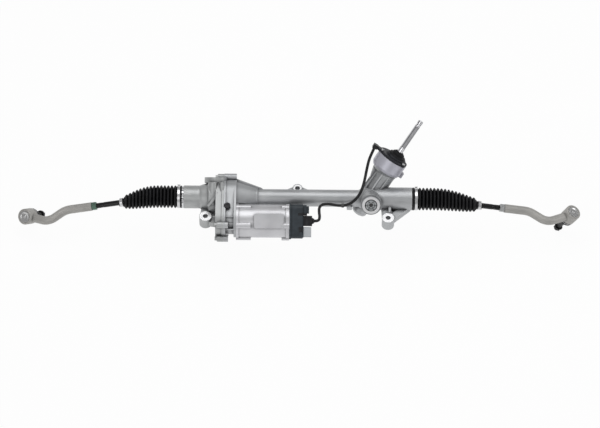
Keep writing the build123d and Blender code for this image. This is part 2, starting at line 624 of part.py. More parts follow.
# bolt bosses round the motor: angle, distance from the axis, radius
MOTOR_BOSSES = [(0, 41, 7), (121, 39.5, 7), (197, 38.5, 8.5), (270, 43, 6.5), (318, 41, 7)]
WEB_LEFT = -32.0
WEB_RIGHT = -23.0
with BuildPart() as motor_housing:
    # die-cast can with two flanges and lengthwise bolt bosses
    ring(MOTOR_LINE, MOTOR_FACE, MOTOR_END, 0, MOTOR_R - 2)
    ring(MOTOR_LINE, MOTOR_FACE, MOTOR_FACE + 7, 0, MOTOR_R)
    ring(MOTOR_LINE, MOTOR_END - 9, MOTOR_END, 0, MOTOR_R)
    for start, length in ((MOTOR_FACE, 38), (MOTOR_END - 20, 20)):
        with BuildSketch(beside(start)) as bosses:
            for angle, reach, boss_r in MOTOR_BOSSES:
                with PolarLocations(reach, 1, start_angle=angle):
                    Circle(boss_r)
        extrude(bosses.sketch, amount=length)
    # flat pad on the front
    with BuildSketch(CASE_FRONT.offset(84.5)) as pad:
        with Locations((-66.5, -60)):
            RectangleRounded(76, 38, 6)
    extrude(pad.sketch, amount=-20)
    # room for the stator, and a web that holds the rear bearing
    ring(MOTOR_LINE, MOTOR_FACE - 1, WEB_LEFT, 0, 38, mode=Mode.SUBTRACT)
    ring(MOTOR_LINE, WEB_LEFT - 1, WEB_RIGHT + 1, 0, 13, mode=Mode.SUBTRACT)
    ring(MOTOR_LINE, WEB_RIGHT, MOTOR_END + 1, 0, 38, mode=Mode.SUBTRACT)
save(motor_housing.part, "motor_housing")
print("motor_housing", len(motor_housing.part.solids()))

with BuildPart() as stator:
    ring(MOTOR_LINE, -140, -40, 22.6, 37.9)
save(stator.part, "stator")

with BuildPart() as rotor:
    ring(MOTOR_LINE, -132, -48, 5, 22)
save(rotor.part, "rotor")

with BuildPart() as motor_shaft:
    ring(MOTOR_LINE, BELT_LEFT + 1, WEB_RIGHT - 0.5, 0, 5)
save(motor_shaft.part, "motor_shaft")

with BuildPart() as motor_bearings:
    ring(MOTOR_LINE, MOTOR_FACE - 9, MOTOR_FACE, 5.05, 12.95)
    ring(MOTOR_LINE, WEB_LEFT, WEB_RIGHT, 5.05, 12.95)
save(motor_bearings.part, "motor_bearings")

with BuildPart() as drive_pulley:
    ring(MOTOR_LINE, BELT_LEFT, BELT_RIGHT, 5, SMALL_PULLEY_R)
save(drive_pulley.part, "drive_pulley")

BELT_START = BELT_LEFT + 2.6
BELT_WIDTH = 20.4
BELT_GAP = 0.4
with BuildPart() as drive_belt:
    inside = (BIG_PULLEY_R + BELT_GAP, SMALL_PULLEY_R + BELT_GAP)
    outside = [radius + BELT_THICKNESS for radius in inside]
    extrude(case_outline(BELT_START, *outside), amount=BELT_WIDTH)
    extrude(case_outline(BELT_START, *inside), amount=BELT_WIDTH, mode=Mode.SUBTRACT)
save(drive_belt.part, "drive_belt")

# ================================================================ electronics
ECU_BACK = 28.0
ECU_FRONT = -42.0
ECU_HALF = 46.0


def ecu_block(start, end, low, high, front=ECU_FRONT, back=ECU_BACK, corner=4, mode=Mode.ADD):
    """A block of the electronics housing, between two heights and two depths."""
    with BuildSketch(beside(start)) as face:
        with Locations(((front + back) / 2, (low + high) / 2)):
            RectangleRounded(back - front, high - low, corner)
    extrude(face.sketch, amount=end - start, mode=mode)


with BuildPart() as ecu_housing:
    ecu_block(MOTOR_END, MOTOR_END + 4.5, -ECU_HALF, ECU_HALF, corner=16)
    ecu_block(MOTOR_END + 4, 20, -ECU_HALF + 2, ECU_HALF - 2, ECU_FRONT + 2, ECU_BACK - 2, 14)
    ecu_block(19, 30, 15, ECU_HALF - 4, ECU_FRONT + 6, ECU_BACK - 8)
    ecu_block(29, 36, 20, 39, ECU_FRONT + 8, 0)
    ecu_block(19, 22, -42, 15, ECU_FRONT + 4, ECU_BACK - 6)
save(ecu_housing.part, "ecu_housing")
print("ecu_housing", len(ecu_housing.part.solids()))

with BuildPart() as signal_connector:
    ecu_block(22, 44, -12, 14.5, -34, -2)
    ecu_block(32, 45, -7, 9.5, -29, -7, 2, mode=Mode.SUBTRACT)
save(signal_connector.part, "signal_connector")

with BuildPart() as power_connector:
    ecu_block(22, 42, -40.5, -14.5, -34, 8)
    ecu_block(26, 43, -37, -18, -30.5, 4.5, 2, mode=Mode.SUBTRACT)
save(power_connector.part, "power_connector")

# ================================================================ cable
# It leaves the signal connector, rounds up to the tube, is clipped there and climbs the tower.
CABLE_R = 3.7
cable_route = [
    (50, -82.1, 8.95), (60, -82.1, 8.95), (64, -72, 10.2), (61.7, -54, 12.6), (62.4, -39, 12.6),
    (71, -30.4, 13.1), (88, -28.7, 12.6), (111.7, -31.9, 9.3), (133, -32.1, 11.7), (152.2, -25.9, 21.6),
    (168.5, -12.1, 38.8), (177.5, 15.5, 49), (183, 43.5, 61.9), (188.5, 63.1, 78.5), (195.5, 76, 90.5),
    (201.6, 85.2, 99.8),
]
cable_points = [Vector(*point) for point in cable_route]


def cord_radii(points):
    """The largest tangent arcs that a route's runs allow, one for each corner."""
    radii = []
    for before, corner, after in zip(points, points[1:], points[2:]):
        turn = radians((corner - before).get_angle(after - corner))
        shorter = min((corner - before).length, (after - corner).length)
        radii.append(0.45 * shorter / tan(turn / 2))
    return radii


cable_radii = cord_radii(cable_points)
print("cable bend radii:", [round(radius) for radius in cable_radii])
with BuildPart() as sensor_cable:
    with BuildLine() as cable_path:
        FilletPolyline(*cable_points, radius=cable_radii)
    with BuildSketch(Plane(origin=cable_path.line @ 0, z_dir=cable_path.line % 0)) as cable_section:
        Circle(CABLE_R)
    sweep(cable_section.sketch, path=cable_path.line)
save(sensor_cable.part, "sensor_cable")
cable_length = sum(edge.length for edge in cable_path.line.edges())
cable_share = sensor_cable.part.volume / (pi * CABLE_R**2 * cable_length)
print("cable length", round(cable_length), "volume share", round(cable_share, 4))

with BuildPart() as cable_plug:
    # plug of the sensor lead: a body in the connector and a rubber boot behind it
    ecu_block(32.2, 45, -6.8, 9.3, -28.8, -7.2, 2)
    boot_line = line(cable_points[0] - ALONG * 5, ALONG)
    spin(boot_line, (-1, 0), (-1, 7.5), (1, 7.5), (5, 5), (5, 0))
save(cable_plug.part, "cable_plug")

CLIP = (cable_points[7] + cable_points[8]) * 0.5
CLIP_DIRECTION = cable_points[8] - cable_points[7]
with BuildPart() as cable_clip:
    # steel band that holds the lead
    ring(line(CLIP, CLIP_DIRECTION.normalized()), -3, 3, CABLE_R + 0.2, CABLE_R + 1.6)
save(cable_clip.part, "cable_clip")

with BuildPart() as sensor_plug:
    # plug in the end of the cap's socket arm, with the lead coming up into it
    with BuildSketch(PINION_SECTION.offset(CAP_AT - 4)) as plug_body:
        with Locations((-61, 0)):
            RectangleRounded(13.6, 16, 3)
    extrude(plug_body.sketch, amount=10)
    plug_line = line(cable_points[-1], cable_points[-1] - cable_points[-2])
    ring(plug_line, 0, 6, 0, 5.5)
save(sensor_plug.part, "sensor_plug")
print("sensor_plug", len(sensor_plug.part.solids()))

# ================================================================ the two steered ends
LEFT_DROOP = radians(13.3)
RIGHT_DROOP = radians(10.0)
BALL_R = 12.0
ROD_R = 7.0
ARM_R = 11.0
OUTER_BALL_R = 13.0
OUTER_SOCKET_R = 20.5


class Side:
    """One steered end: its directions, and where its pieces stand along the tie rod."""

    def __init__(self, name, sign, droop, nut_at, bend_out, bend_in, ball_at, stud):
        self.name = name
        self.sign = sign
        joint = ALONG * sign * INNER_JOINT_X
        along_rod = Vector(sign * cos(droop), 0, -sin(droop))
        self.rod = line(joint, along_rod)
        self.bend = Plane(origin=joint, x_dir=along_rod, z_dir=along_rod.cross(Vector(0, 1, 0)))
        self.rack = line((0, 0, 0), ALONG * sign)
        self.cuff = RIGHT_NOSE_END if sign > 0 else 2 - LEFT_NOSE_END
        self.nut_at = nut_at
        self.bend_out = bend_out
        self.bend_in = bend_in
        self.ball_at = ball_at
        self.ball = self.bend.from_local_coords(Vector(ball_at[0], ball_at[1], 0))
        stud_end = self.bend.from_local_coords(Vector(*stud)) - self.bend.origin
        self.stud = line(self.ball, stud_end.normalized(), side=(0, 1, 0))


left = Side("left", -1, LEFT_DROOP, 177.6, (262, 0), (306, -31), (363.2, -3.4), (-0.29, 0.603, 0.74))
right = Side("right", 1, RIGHT_DROOP, 191.2, (270, 0), (316, -29), (379.9, 4.0), (-0.27, 0.1, -0.957))

for side in (left, right):
    nut_end = side.nut_at + 13

    with BuildPart() as inner_socket:
        # forged cup screwed on to the rack's end, with spanner flats
        spin(
            side.rack,
            (RACK_END_X, 0), (RACK_END_X, 16), (RACK_END_X + 2, SOCKET_R - 1),
            (RACK_END_X + 4, SOCKET_R), (346, SOCKET_R), (353, 15.5), (353, 0),
        )
        ball_line = line(side.rack.origin + ALONG * side.sign * INNER_JOINT_X, ALONG * side.sign)
        with BuildSketch(ball_line) as seat_outline:
            with BuildLine():
                ThreePointArc((-14, 0), (0, 14), (8, sqrt(14**2 - 8**2)))
                Polyline((8, sqrt(14**2 - 8**2)), (13, 15), (13, 0), (-14, 0))
            make_face()
        revolve(seat_outline.sketch, axis=Axis(ball_line.origin, ball_line.x_dir), mode=Mode.SUBTRACT)
    save(inner_socket.part, f"inner_socket_{side.name}")

    with BuildPart() as side.seat:
        with BuildSketch(ball_line) as seat_outline:
            with BuildLine():
                ThreePointArc((-13.9, 0), (0, 13.9), (7.9, sqrt(13.9**2 - 7.9**2)))
                Line((7.9, sqrt(13.9**2 - 7.9**2)), (6, sqrt(12.08**2 - 6**2)))
                ThreePointArc((6, sqrt(12.08**2 - 6**2)), (0, 12.08), (-12.08, 0))
                Line((-12.08, 0), (-13.9, 0))
            make_face()
        revolve(seat_outline.sketch, axis=Axis(ball_line.origin, ball_line.x_dir))

    with BuildPart() as tie_rod:
        with BuildSketch(side.rod) as rod_outline:
            with BuildLine():
                ThreePointArc((-BALL_R, 0), (0, BALL_R), (sqrt(BALL_R**2 - 5.5**2), 5.5))
                Polyline(
                    (sqrt(BALL_R**2 - 5.5**2), 5.5), (26, 6), (34, ROD_R), (side.nut_at - 20, ROD_R),
                    (side.nut_at - 18, 6.6), (nut_end + 30, 6.6), (nut_end + 31, 5.6), (nut_end + 31, 0),
                    (-BALL_R, 0),
                )
            make_face()
        revolve(rod_outline.sketch, axis=Axis(side.rod.origin, side.rod.x_dir))
    save(tie_rod.part, f"tie_rod_{side.name}")
    print("tie_rod", len(tie_rod.part.solids()))

    with BuildPart() as lock_nut:
        nut_plane = Plane(origin=side.rod.origin + side.rod.x_dir * side.nut_at, x_dir=(0, 1, 0), z_dir=side.rod.x_dir)
        with BuildSketch(nut_plane) as hexagon:
            RegularPolygon(11, 6)
            Circle(6.65, mode=Mode.SUBTRACT)
        extrude(hexagon.sketch, amount=12.5)
        ring(side.rod, side.nut_at - 1, side.nut_at + 1, 10.2, 13, mode=Mode.SUBTRACT)
    save(lock_nut.part, f"lock_nut_{side.name}")

    with BuildPart() as tie_rod_end:
        # forged arm with an S-bend, swept along its centre line, and the ball's housing
        with BuildLine(side.bend) as arm_path:
            FilletPolyline(
                (nut_end, 0), side.bend_out, side.bend_in, side.ball_at, radius=[45, 34]
            )
        with BuildSketch(Plane(origin=arm_path.line @ 0, z_dir=arm_path.line % 0)) as arm_section:
            Circle(ARM_R)
        sweep(arm_section.sketch, path=arm_path.line)
        ring(side.stud, -15, 13, 0, OUTER_SOCKET_R)
        spin(side.stud, (13, 0), (13, OUTER_SOCKET_R - 1.5), (15, OUTER_SOCKET_R - 3), (15, 0))
        # socket for the ball and its seat, and the thread for the tie rod
        ring(side.stud, -14, 8, 0, 16, mode=Mode.SUBTRACT)
        spin(side.stud, (8, 0), (8, 13), (16, 15.5), (16, 0), mode=Mode.SUBTRACT)
        ring(side.stud, -16, -13, 0, 17.5, mode=Mode.SUBTRACT)
        ring(side.rod, nut_end - 1, nut_end + 34, 0, 6.65, mode=Mode.SUBTRACT)
    save(tie_rod_end.part, f"tie_rod_end_{side.name}")
    print("tie_rod_end", len(tie_rod_end.part.solids()))

    with BuildPart() as joint_cap:
        # pressed steel cap, rolled in behind the ball
        spin(side.stud, (-13.1, 0), (-13.1, 17.4), (-15, 17.4), (-16.5, 15.5), (-16, 9), (-15, 8), (-15, 0))
    save(joint_cap.part, f"joint_cap_{side.name}")

    with BuildPart() as outer_seat:
        with BuildSketch(side.stud) as seat_outline:
            with BuildLine():
                Polyline((-12.9, 6), (-12.9, 15.9), (7.9, 15.9), (7.0, sqrt(13.08**2 - 49)))
                ThreePointArc((7.0, sqrt(13.08**2 - 49)), (0, 13.08), (-sqrt(13.08**2 - 36), 6))
                Line((-sqrt(13.08**2 - 36), 6), (-12.9, 6))
            make_face()
        revolve(seat_outline.sketch, axis=Axis(side.stud.origin, side.stud.x_dir))
    save(outer_seat.part, f"outer_seat_{side.name}")

    with BuildPart() as ball_stud:
        with BuildSketch(side.stud) as stud_outline:
            with BuildLine():
                ThreePointArc((-OUTER_BALL_R, 0), (0, OUTER_BALL_R), (sqrt(OUTER_BALL_R**2 - 49), 7))
                Polyline(
                    (sqrt(OUTER_BALL_R**2 - 49), 7), (32, 7), (33, 8.5), (36, 8.5), (37, 7.5), (54, 6.4),
                    (54, 6), (75, 6), (76, 5), (76, 0), (-OUTER_BALL_R, 0),
                )
            make_face()
        revolve(stud_outline.sketch, axis=Axis(side.stud.origin, side.stud.x_dir))
    save(ball_stud.part, f"ball_stud_{side.name}")

    with BuildPart() as stud_nut:
        nut_plane = Plane(origin=side.stud.origin + side.stud.x_dir * 62, x_dir=side.stud.y_dir, z_dir=side.stud.x_dir)
        with BuildSketch(nut_plane) as hexagon:
            RegularPolygon(10.4, 6)
            Circle(6.05, mode=Mode.SUBTRACT)
        extrude(hexagon.sketch, amount=10)
        ring(side.stud, 60.5, 62, 6.05, 11.2)
    save(stud_nut.part, f"stud_nut_{side.name}")

    with BuildPart() as dust_boot:
        # rubber boot from the housing's rim to the stud's neck
        spin(
            side.stud,
            (15.1, 16), (15.1, 18.5), (20, 19), (26, 17), (30, 11.5), (32, 11), (32, 7.2), (29, 8.2),
            (25, 14.5), (20, 16.5),
        )
    save(dust_boot.part, f"dust_boot_{side.name}")

    # bellows, from the cuff on the housing to the neck on the tie rod
    cuff = side.cuff
    fat_end = 352.0
    folds_fixed = 5 if side is left else 3
    with BuildPart() as bellows:
        ring(side.rack, cuff, cuff + 15.5, CUFF_SEAT_R + 0.05, 28)
        ring(side.rack, cuff + 15.3, cuff + 16.5, 21.5, 28)
        pitch = 8.7
        start = cuff + 15.5
        while start + pitch < fat_end:
            spin(
                side.rack,
                (start - 0.3, 21.5), (start - 0.3, 25), (start + pitch / 2, 29.2),
                (start + pitch, 25), (start + pitch, 21.5),
            )
            start += pitch
        reach = start - INNER_JOINT_X
        neck = 104.0 if side is left else 131.0
        folds = round((neck - reach) / pitch)
        step = (neck - reach) / folds
        for number in range(folds):
            taper = number / folds
            big = 29.2 - 10.5 * taper**2
            spin(
                side.rod,
                (reach + number * step - 1, 20.5 - 9 * taper**2), (reach + number * step - 1, big - 4),
                (reach + (number + 0.5) * step, big), (reach + (number + 1) * step, big - 4.5),
                (reach + (number + 1) * step, 20.5 - 9 * taper**2),
            )
        spin(side.rod, (neck - 1.5, ROD_R + 0.3), (neck - 1.5, 15), (neck + 1.5, 10), (neck + 1.5, ROD_R + 0.3))
        ring(side.rod, neck + 1, neck + 12, ROD_R + 0.3, 10)
    save(bellows.part, f"bellows_{side.name}")
    print("bellows", side.name, len(bellows.part.solids()), "folds", folds)

    with BuildPart() as small_clamp:
        ring(side.rod, neck + 3, neck + 11, 10.3, 11.5)
    save(small_clamp.part, f"small_clamp_{side.name}")

with BuildPart() as inner_seats:
    # plastic shells between the inner balls and their cups
    for side in (left, right):
        add(side.seat.part)
save(inner_seats.part, "inner_seats")

with BuildPart() as large_clamps:
    # steel bands round the bellows' cuffs
    for side in (left, right):
        ring(side.rack, side.cuff + 7.5, side.cuff + 14.5, 28.05, 29.3)
save(large_clamps.part, "large_clamps")
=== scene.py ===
# %% [markdown]
# # An electric steering rack
# The working model comes from the CAD frame: every solid piece is already there, at its real size.
# This script dresses it. It gives each surface its finish and models the soft and fine pieces,
# such as bellows, clamps, the sensor lead, threads and nuts, in metres and in the frame's own
# axes.

import json
from math import atan2, cos, pi, radians, sin, tan

import bmesh
import bpy
from mathutils import Matrix, Vector

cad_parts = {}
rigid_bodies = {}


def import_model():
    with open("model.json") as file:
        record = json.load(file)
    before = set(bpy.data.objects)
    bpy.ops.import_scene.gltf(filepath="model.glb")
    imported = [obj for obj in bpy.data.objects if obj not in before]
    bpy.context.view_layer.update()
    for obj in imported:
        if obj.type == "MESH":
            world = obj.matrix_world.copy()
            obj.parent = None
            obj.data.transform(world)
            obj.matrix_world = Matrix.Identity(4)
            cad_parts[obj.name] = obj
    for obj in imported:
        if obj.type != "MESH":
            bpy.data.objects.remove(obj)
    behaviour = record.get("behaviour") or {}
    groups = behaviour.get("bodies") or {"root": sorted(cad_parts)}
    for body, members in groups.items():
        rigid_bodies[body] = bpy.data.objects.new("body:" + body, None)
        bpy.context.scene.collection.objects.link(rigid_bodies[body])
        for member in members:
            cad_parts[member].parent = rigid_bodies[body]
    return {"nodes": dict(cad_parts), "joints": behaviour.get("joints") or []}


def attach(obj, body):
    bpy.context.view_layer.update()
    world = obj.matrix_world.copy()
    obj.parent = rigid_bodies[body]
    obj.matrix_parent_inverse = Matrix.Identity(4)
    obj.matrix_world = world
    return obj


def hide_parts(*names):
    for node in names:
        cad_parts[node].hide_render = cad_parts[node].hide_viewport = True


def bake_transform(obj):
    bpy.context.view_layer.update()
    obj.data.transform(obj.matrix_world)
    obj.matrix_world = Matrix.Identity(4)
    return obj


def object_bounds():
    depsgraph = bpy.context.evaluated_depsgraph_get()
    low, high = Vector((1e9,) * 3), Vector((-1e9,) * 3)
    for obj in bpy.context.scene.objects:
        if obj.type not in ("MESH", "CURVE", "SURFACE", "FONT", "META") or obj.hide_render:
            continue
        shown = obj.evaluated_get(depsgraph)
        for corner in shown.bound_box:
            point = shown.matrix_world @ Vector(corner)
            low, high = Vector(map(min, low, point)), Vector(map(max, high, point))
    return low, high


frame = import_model()
cad_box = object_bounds()
nodes = frame["nodes"]
joints = {joint["name"]: joint for joint in frame["joints"]}
print("CAD pieces:", len(nodes), "joints:", len(joints))

# %% [markdown]
# Lengths are easier to read in millimetres, measured from the middle of the rack bar. The frame's
# origin is the left mounting bore, so one helper turns such a point into a place in the frame.
# Most pieces are round, so a second helper describes a line in space: where it starts, where it
# points, and which way is its side. Pieces are drawn along the X axis first and then carried to
# their line.

# %% The rack's own coordinates
MM = 0.001
RACK_X = 0.230
RACK_Y = joints["ball_nut_spin"]["pos_m"][1]
ALONG = Vector((1, 0, 0))


def place(x, y=0.0, z=0.0):
    """A point given in millimetres from the middle of the rack, in the frame's metres."""
    return Vector((RACK_X + x * MM, RACK_Y + y * MM, z * MM))


class Line:
    """A line that round pieces are turned about: its start, its direction and its side."""

    def __init__(self, start, direction, side=(0, 0, 1)):
        self.start = Vector(start)
        self.direction = Vector(direction).normalized()
        side = Vector(side)
        self.side = (side - self.direction * side.dot(self.direction)).normalized()
        turn = Matrix((self.direction, self.side, self.direction.cross(self.side))).transposed()
        self.matrix = Matrix.Translation(self.start) @ turn.to_4x4()

    def at(self, along, side=0.0, third=0.0):
        """The place of a point given in millimetres along the line and to its two sides."""
        return self.matrix @ (Vector((along, side, third)) * MM)


print("middle of the rack:", [round(value, 4) for value in place(0)])

# %% [markdown]
# The camera looks down at the front of the rack from 52 degrees with a long lens, so that lines
# along the rack stay almost parallel. It leans by half a degree, and the picture's middle is a
# little below the rack.

# %% Camera
ELEVATION = radians(52)
LEAN = radians(0.54)
PICTURE_WIDTH = 1.548
LENS = 200
SENSOR = 36
DISTANCE = PICTURE_WIDTH * LENS / SENSOR
TARGET_X = 12.9
TARGET_BELOW = 41.5 * MM
picture_up = Vector((0, sin(ELEVATION), cos(ELEVATION)))
towards_camera = Vector((0, -cos(ELEVATION), sin(ELEVATION)))
target = place(TARGET_X) - picture_up * TARGET_BELOW

camera_data = bpy.data.cameras.new("camera")
camera_data.lens = LENS
camera = bpy.data.objects.new("camera", camera_data)
bpy.context.scene.collection.objects.link(camera)
camera.location = target + towards_camera * DISTANCE
turn = towards_camera.to_track_quat("Z", "Y").to_matrix().to_4x4()
camera.matrix_world = Matrix.Translation(camera.location) @ turn @ Matrix.Rotation(LEAN, 4, "Z")
bpy.context.scene.camera = camera
bpy.context.scene.view_settings.view_transform = "Standard"
print("camera distance:", round(DISTANCE, 2))

# %% [markdown]
# Materials are built from nodes by a few short helpers. One feeds a node's inputs from sockets or
# plain values, and two add calculations on numbers and on vectors.

# %% Helpers for node trees
def new_material(name):
    """A node material, its node tree and its shader."""
    material = bpy.data.materials.new(name)
    material.use_nodes = True
    tree = material.node_tree
    return material, tree, tree.nodes["Principled BSDF"]


def feed(node, **values):
    """Feeds inputs, named with underscores for spaces, from sockets or plain values."""
    for label, value in values.items():
        socket = node.inputs[label.replace("_", " ")]
        if isinstance(value, bpy.types.NodeSocket):
            node.id_data.links.new(value, socket)
        else:
            socket.default_value = value


def calculation(kind):
    """Makes a function that adds a Math or Vector Math node to a tree and feeds it in order."""
    def add(tree, operation, *values, clamp=False):
        node = tree.nodes.new(kind)
        node.operation = operation
        if clamp:
            node.use_clamp = True
        for index, value in enumerate(values):
            if isinstance(value, bpy.types.NodeSocket):
                tree.links.new(value, node.inputs[index])
            else:
                node.inputs[index].default_value = value
        scalar = kind == "ShaderNodeMath" or operation in ("DOT_PRODUCT", "LENGTH")
        return node.outputs["Value" if scalar else "Vector"]
    return add


number = calculation("ShaderNodeMath")
vector = calculation("ShaderNodeVectorMath")
print("helpers: new_material, feed, number and vector")

# %% [markdown]
# A white studio floor carries the object. To the camera and to reflections it glows by itself, so
# that it stays white, and a small share of real light lets the soft shadow show.

# %% Floor and light
FLOOR_GAP = 0.002
FLOOR_SIZE = 14
GLOW_SHARE = 0.95
floor_z = cad_box[0].z - FLOOR_GAP
bm = bmesh.new()
bmesh.ops.create_grid(bm, x_segments=1, y_segments=1, size=FLOOR_SIZE)
bmesh.ops.translate(bm, vec=(RACK_X, 0, floor_z), verts=bm.verts)
floor_mesh = bpy.data.meshes.new("floor")
bm.to_mesh(floor_mesh)
bm.free()
floor = bpy.data.objects.new("floor", floor_mesh)
bpy.context.scene.collection.objects.link(floor)
floor_material, floor_tree, floor_shader = new_material("studio_white")
feed(floor_shader, Base_Color=(0.88, 0.88, 0.88, 1), Roughness=1.0, Specular_IOR_Level=0.0)
glow = floor_tree.nodes.new("ShaderNodeEmission")
ray = floor_tree.nodes.new("ShaderNodeLightPath").outputs
seen = number(floor_tree, "MAXIMUM", ray["Is Camera Ray"], ray["Is Glossy Ray"])
floor_mix = floor_tree.nodes.new("ShaderNodeMixShader")
feed(floor_mix, Fac=number(floor_tree, "MULTIPLY", seen, GLOW_SHARE))
floor_tree.links.new(floor_shader.outputs["BSDF"], floor_mix.inputs[1])
floor_tree.links.new(glow.outputs[0], floor_mix.inputs[2])
feed(floor_tree.nodes["Material Output"], Surface=floor_mix.outputs[0])
floor.data.materials.append(floor_material)


def soft_lamp(name, stand, aim, size, power):
    """A large square lamp that looks at a point."""
    data = bpy.data.lights.new(name, "AREA")
    data.shape = "SQUARE"
    data.size = size
    data.energy = power
    lamp = bpy.data.objects.new(name, data)
    bpy.context.scene.collection.objects.link(lamp)
    lamp.location = stand
    lamp.rotation_mode = "QUATERNION"
    lamp.rotation_quaternion = (Vector(stand) - Vector(aim)).to_track_quat("Z", "Y")


soft_lamp("top_lamp", (0.2, 0.7, 2.6), place(0), 2.0, 26)
soft_lamp("front_lamp", (-0.9, -2.4, 1.9), place(0), 1.6, 15)
soft_lamp("right_lamp", (2.6, -0.4, 1.5), place(0), 1.2, 9)
world = bpy.data.worlds.new("studio")
world.use_nodes = True
feed(world.node_tree.nodes["Background"], Color=(1, 1, 1, 1), Strength=0.42)
bpy.context.scene.world = world
print("floor height:", round(floor_z, 4))

# %% [markdown]
# ## Finishes
# Worn edges, sand, grain and machined spots show on many materials, so each is a node group with
# named inputs and outputs. A group puts out a mask or a normal, and the shader that uses it stays
# in the material.

# %% A builder for node groups
def node_group(name, inputs, outputs):
    """A shader node group with float or vector sockets, each given as (kind, name, default)."""
    group = bpy.data.node_groups.new(name, "ShaderNodeTree")
    kinds = {"float": "NodeSocketFloat", "vector": "NodeSocketVector"}
    for kind, label, default in inputs:
        socket = group.interface.new_socket(name=label, in_out="INPUT", socket_type=kinds[kind])
        socket.default_value = default
    for kind, label in outputs:
        group.interface.new_socket(name=label, in_out="OUTPUT", socket_type=kinds[kind])
    return group, group.nodes.new("NodeGroupInput"), group.nodes.new("NodeGroupOutput")


# %% Soft edges and edge wear
def make_soft_edge():
    """Rounds sharp edges in the shading, and puts out a mask that is 1 along them."""
    group, given, out = node_group(
        "soft_edge",
        [("float", "Radius", 0.001)],
        [("vector", "Normal"), ("float", "Edge")],
    )
    bevel = group.nodes.new("ShaderNodeBevel")
    bevel.samples = 6
    geometry = group.nodes.new("ShaderNodeNewGeometry")
    feed(bevel, Radius=given.outputs["Radius"])
    agreement = vector(group, "DOT_PRODUCT", bevel.outputs["Normal"], geometry.outputs["Normal"])
    lost = number(group, "SUBTRACT", 1.0, agreement, clamp=True)
    feed(out, Normal=bevel.outputs["Normal"], Edge=number(group, "MULTIPLY", lost, 4.0, clamp=True))
    return group


soft_edge = make_soft_edge()

# %% [markdown]
# Corners and slots catch less light, and their colour is darkened there as painted shade. An
# ambient occlusion node measures how open a point is, on the piece itself only, so that the mask
# stays the same in every pose.

# %% Crevices
def make_crevice():
    """A mask that is 1 on open faces and falls towards 0 in corners and slots."""
    group, given, out = node_group("crevice", [("float", "Reach", 0.008)], [("float", "Open")])
    opening = group.nodes.new("ShaderNodeAmbientOcclusion")
    opening.samples = 8
    opening.only_local = True
    feed(opening, Distance=given.outputs["Reach"])
    feed(out, Open=number(group, "POWER", opening.outputs["AO"], 1.6))
    return group


crevice = make_crevice()

# %% [markdown]
# A die casting has a fine sandy skin and faint cloudy patches where the metal met the die. Two
# noises of different scale give both: the fine one drives the bump, the coarse one shifts colour
# and gloss.

# %% Cast skin
def make_cast_skin():
    """Fine sand and cloudy patches of a casting or a moulding."""
    group, given, out = node_group(
        "cast_skin",
        [("float", "Sand size", 900.0), ("float", "Patch size", 22.0)],
        [("float", "Sand"), ("float", "Patches")],
    )
    where = group.nodes.new("ShaderNodeTexCoord")
    for label, mask, detail in (("Sand size", "Sand", 3.0), ("Patch size", "Patches", 4.0)):
        texture = group.nodes.new("ShaderNodeTexNoise")
        feed(texture, Detail=detail, Vector=where.outputs["Object"], Scale=given.outputs[label])
        group.links.new(texture.outputs["Fac"], out.inputs[mask])
    return group


cast_skin = make_cast_skin()

# %% [markdown]
# A lathe leaves fine rings, and a milling cutter leaves arcs. Where such a face sits on a casting,
# only a mask tells the two finishes apart: everything nearer to a line than a radius, and beyond a
# height on it.

# %% Machined spots
def make_machined_spot():
    """A mask for a round machined face: within a radius of a line and above a height along it."""
    group, given, out = node_group(
        "machined_spot",
        [
            ("vector", "Centre", (0, 0, 0)), ("vector", "Axis", (0, 0, 1)),
            ("float", "Radius", 0.016), ("float", "From", 0.0),
        ],
        [("float", "Mask"), ("float", "Distance")],
    )
    where = group.nodes.new("ShaderNodeTexCoord")
    offset = vector(group, "SUBTRACT", where.outputs["Object"], given.outputs["Centre"])
    along = vector(group, "DOT_PRODUCT", offset, given.outputs["Axis"])
    scaled = group.nodes.new("ShaderNodeVectorMath")
    scaled.operation = "SCALE"
    feed(scaled, Vector=given.outputs["Axis"], Scale=along)
    across = vector(group, "SUBTRACT", offset, scaled.outputs["Vector"])
    distance = vector(group, "LENGTH", across)
    inside = number(group, "LESS_THAN", distance, given.outputs["Radius"])
    above = number(group, "GREATER_THAN", along, given.outputs["From"])
    feed(out, Mask=number(group, "MULTIPLY", inside, above), Distance=distance)
    return group


machined_spot = make_machined_spot()


# %% Small helpers for materials
def use_group(material, group, **values):
    """Places a node group in a material and sets its inputs."""
    node = material.node_tree.nodes.new("ShaderNodeGroup")
    node.node_tree = group
    feed(node, **values)
    return node


def ramp(material, factor, low, high, start=0.0, end=1.0):
    """Turns a mask into a colour between two colours."""
    node = material.node_tree.nodes.new("ShaderNodeValToRGB")
    node.color_ramp.elements[0].position = start
    node.color_ramp.elements[1].position = end
    node.color_ramp.elements[0].color = (*low, 1)
    node.color_ramp.elements[1].color = (*high, 1)
    feed(node, Fac=factor)
    return node.outputs["Color"]


def spread(material, factor, low, high):
    """Maps a mask from 0..1 to low..high."""
    node = material.node_tree.nodes.new("ShaderNodeMapRange")
    feed(node, To_Min=low, To_Max=high, Value=factor)
    return node.outputs["Result"]


def mixed(material, factor, first, second):
    """Mixes two colours, given as sockets or values, by a mask."""
    node = material.node_tree.nodes.new("ShaderNodeMix")
    node.data_type = "RGBA"
    links = material.node_tree.links
    links.new(factor, node.inputs["Factor"])
    for value, label in ((first, "A"), (second, "B")):
        socket = [s for s in node.inputs if s.name == label and s.type == "RGBA"][0]
        if isinstance(value, bpy.types.NodeSocket):
            links.new(value, socket)
        else:
            socket.default_value = (*value, 1)
    return [s for s in node.outputs if s.type == "RGBA"][0]


def corner_shaded(material, color, shade_color, reach):
    """Darkens a colour in corners and slots: painted shade."""
    opening = use_group(material, crevice, Reach=reach)
    return mixed(material, opening.outputs["Open"], shade_color, color)


